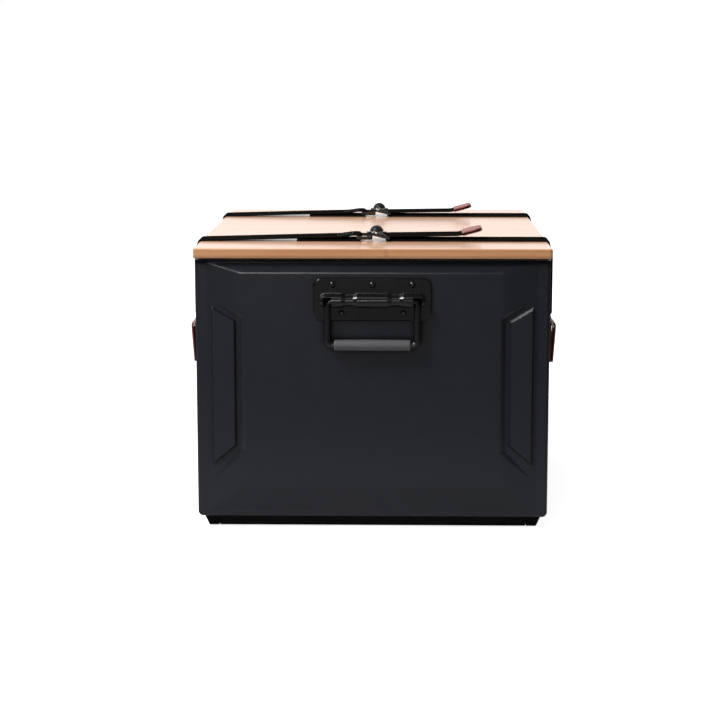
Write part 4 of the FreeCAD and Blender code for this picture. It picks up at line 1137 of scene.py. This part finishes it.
# %% Stitches on the webbing
SEWN_HALF = 0.0145
SEWN_RUN = 0.017
HOOK_SEAM = (0.022, 0.007)
THREAD_LIFT = 0.00005
FACE = STRAP_T / 2 + THREAD_LIFT
OUT = {"right": 1, "left": -1}
webbing_seams = []
for end in ENDS:
    for side in SIDES:
        line = LINES[side]
        start = reach_of(line, lambda spot: spot.y < HOOK.z + HOOK_SEAM[0])
        stop = reach_of(line, lambda spot: spot.y < HOOK.z + HOOK_SEAM[1])
        webbing_seams += crossed_box(line, STRAP_Y[end], OUT[side] * FACE, start, stop, SEWN_HALF)
    line = LINES["left"]
    start = reach_of(line, lambda spot: spot.x < -RING_X - LOOP_FLAT and spot.y > WEB_Z + RING_LOOP_R)
    stop = start + SEWN_RUN
    webbing_seams += crossed_box(line, STRAP_Y[end], OUT["left"] * FACE, start, stop, SEWN_HALF)
sew("strap_stitches", "lid", webbing_seams, BLACK_THREAD)

# %% Stitches on the leather
PULL_FACE = PULL_T / 2 + THREAD_LIFT
PULL_HALF = 0.0118
PULL_SEAM = (0.004, 0.034)
TIP_SEAM = 0.0026
tip_seams = []
tip_top = STRAP_T / 2 + TIP_LEAF
for end in ENDS:
    for face in (-1, 1):
        run = []
        for along, across in tip_outline(TIP_SEAM):
            spot = Vector(tail_corner(along))
            spot += Vector((-math.sin(TAIL_ANGLE), math.cos(TAIL_ANGLE))) * (face * tip_top)
            run.append(Vector((spot.x, STRAP_Y[end] + across, spot.y)))
        tip_seams.append(run + run[:1])
    for side in SIDES:
        line = PULL_LINES[side]
        total = lengths_and_normals(line)[0][-1]
        seams = []
        for first, last in (PULL_SEAM, [total - reach for reach in PULL_SEAM]):
            stops = [(last, -PULL_HALF), (first, -PULL_HALF), (first, PULL_HALF), (last, PULL_HALF),
                     (last, -PULL_HALF)]
            seams.append(seam(line, STRAP_Y[end], -OUT[side] * PULL_FACE, stops))
        sew(f"{end}_{side}_pull_stitches", f"{end}_{side}_hook", seams, BROWN_THREAD)
sew("strap_tip_stitches", "lid", tip_seams, BROWN_THREAD)

# %% [markdown]
# ## Floor, light and camera
# The set is a plain pale floor under a white sky. Lamps are large, so shadows are soft: a key panel
# from the upper left, weaker ones behind and above the camera, and a fill from the right. A pale
# sheet lies under the box on a darker ground. Floor and sky look white to the camera alone, through
# Light Path, so the white adds no light to the object.

# %% Floor
FLOOR_HALF = 9.0
NEAR_FLOOR = 0.35
FAR_FLOOR = 1.0
SHEET_EDGE = (0.5, 0.9)


def floor_finish():
    paper = Finish("pale_floor", Roughness=0.9, Specular_IOR_Level=0.0)
    seen = paper.add("LightPath", {}).outputs["Is Camera Ray"]
    spot = paper.place()
    fibre = paper.noise(spot, 40.0, 3.0)
    away = paper.add("VectorMath", {0: spot}, operation="LENGTH").outputs["Value"]
    sheet = paper.mix(fibre, shade(0.50, 0.50, 0.50), shade(0.56, 0.56, 0.56))
    ground = paper.mix(fibre, shade(0.19, 0.19, 0.19), shade(0.22, 0.22, 0.22))
    paper_tint = paper.mix(paper.spread(away, *SHEET_EDGE), sheet, ground)
    paper.set(Base_Color=paper.mix(seen, paper_tint, shade(0.80, 0.80, 0.80)))
    white = paper.spread(away, NEAR_FLOOR, FAR_FLOOR, 0.80, 1.0)
    glow = paper.maths("MULTIPLY", seen, white)
    return paper.set(Emission_Color=shade(1.0, 1.0, 1.0), Emission_Strength=glow)


floor_corners = [(sx * FLOOR_HALF, sy * FLOOR_HALF, 0) for sx, sy in SQUARE]
floor_mesh = new_mesh("studio_floor", floor_corners, [], [(0, 1, 2, 3)])
floor_mesh.materials.append(floor_finish())
studio_floor = bpy.data.objects.new("studio_floor", floor_mesh)
show(studio_floor)
print("floor of", 2 * FLOOR_HALF, "m")

# %% Sky
ROOM_DARK = 0.05
ROOM_PALE = 1.15
ROOM_FADE = (0.2, 0.7)


def studio_sky():
    world = bpy.data.worlds.new("studio_sky")
    world.use_nodes = True
    nodes = world.node_tree.nodes
    links = world.node_tree.links
    room = nodes["Background"]
    direction = nodes.new("ShaderNodeSeparateXYZ")
    links.new(nodes.new("ShaderNodeTexCoord").outputs["Generated"], direction.inputs[0])
    level = nodes.new("ShaderNodeMapRange")
    ends = {"From Min": ROOM_FADE[0], "From Max": ROOM_FADE[1], "To Min": ROOM_DARK, "To Max": ROOM_PALE}
    for label, value in ends.items():
        level.inputs[label].default_value = value
    links.new(direction.outputs["Y"], level.inputs["Value"])
    links.new(level.outputs[0], room.inputs["Color"])
    white = nodes.new("ShaderNodeBackground")
    white.inputs["Color"].default_value = shade(1.0, 1.0, 1.0)
    choose = nodes.new("ShaderNodeMixShader")
    links.new(nodes.new("ShaderNodeLightPath").outputs["Is Camera Ray"], choose.inputs[0])
    links.new(room.outputs[0], choose.inputs[1])
    links.new(white.outputs[0], choose.inputs[2])
    links.new(choose.outputs[0], nodes["World Output"].inputs["Surface"])
    return world


bpy.context.scene.world = studio_sky()
print("sky from", ROOM_DARK, "to", ROOM_PALE)

# %% Lamps
AIM = Vector((0.0, 0.0, 0.18))


def lamp(name, place, size, power):
    light = bpy.data.lights.new(name, "AREA")
    light.shape = "SQUARE"
    light.size = size
    light.energy = power
    holder = bpy.data.objects.new(name, light)
    holder.location = place
    holder.rotation_euler = (AIM - Vector(place)).to_track_quat("-Z", "Y").to_euler()
    show(holder)


lamp("key_panel", (-1.5, -1.15, 2.4), 0.9, 100.0)
lamp("front_panel", (-0.5, -3.7, 0.95), 0.7, 26.0)
lamp("high_panel", (-0.2, -1.7, 2.5), 1.0, 5.0)
lamp("fill_panel", (1.8, -2.2, 1.4), 1.4, 3.0)
print("lamps: key, front, high, fill")

# %% Camera
CAMERA_PLACE = (0.0266, -2.300, 0.5326)
CAMERA_DOWN = math.radians(9.428)
CAMERA_TURN = 0.0197
CAMERA_LENS = 93.96
lens = bpy.data.cameras.new("portrait")
lens.lens = CAMERA_LENS
lens.sensor_width = 36.0
camera = bpy.data.objects.new("portrait", lens)
camera.location = CAMERA_PLACE
camera.rotation_euler = (math.pi / 2 - CAMERA_DOWN, 0.0, CAMERA_TURN)
show(camera)
bpy.context.scene.camera = camera
bpy.context.scene.view_settings.view_transform = "Standard"
print("camera at", CAMERA_PLACE)
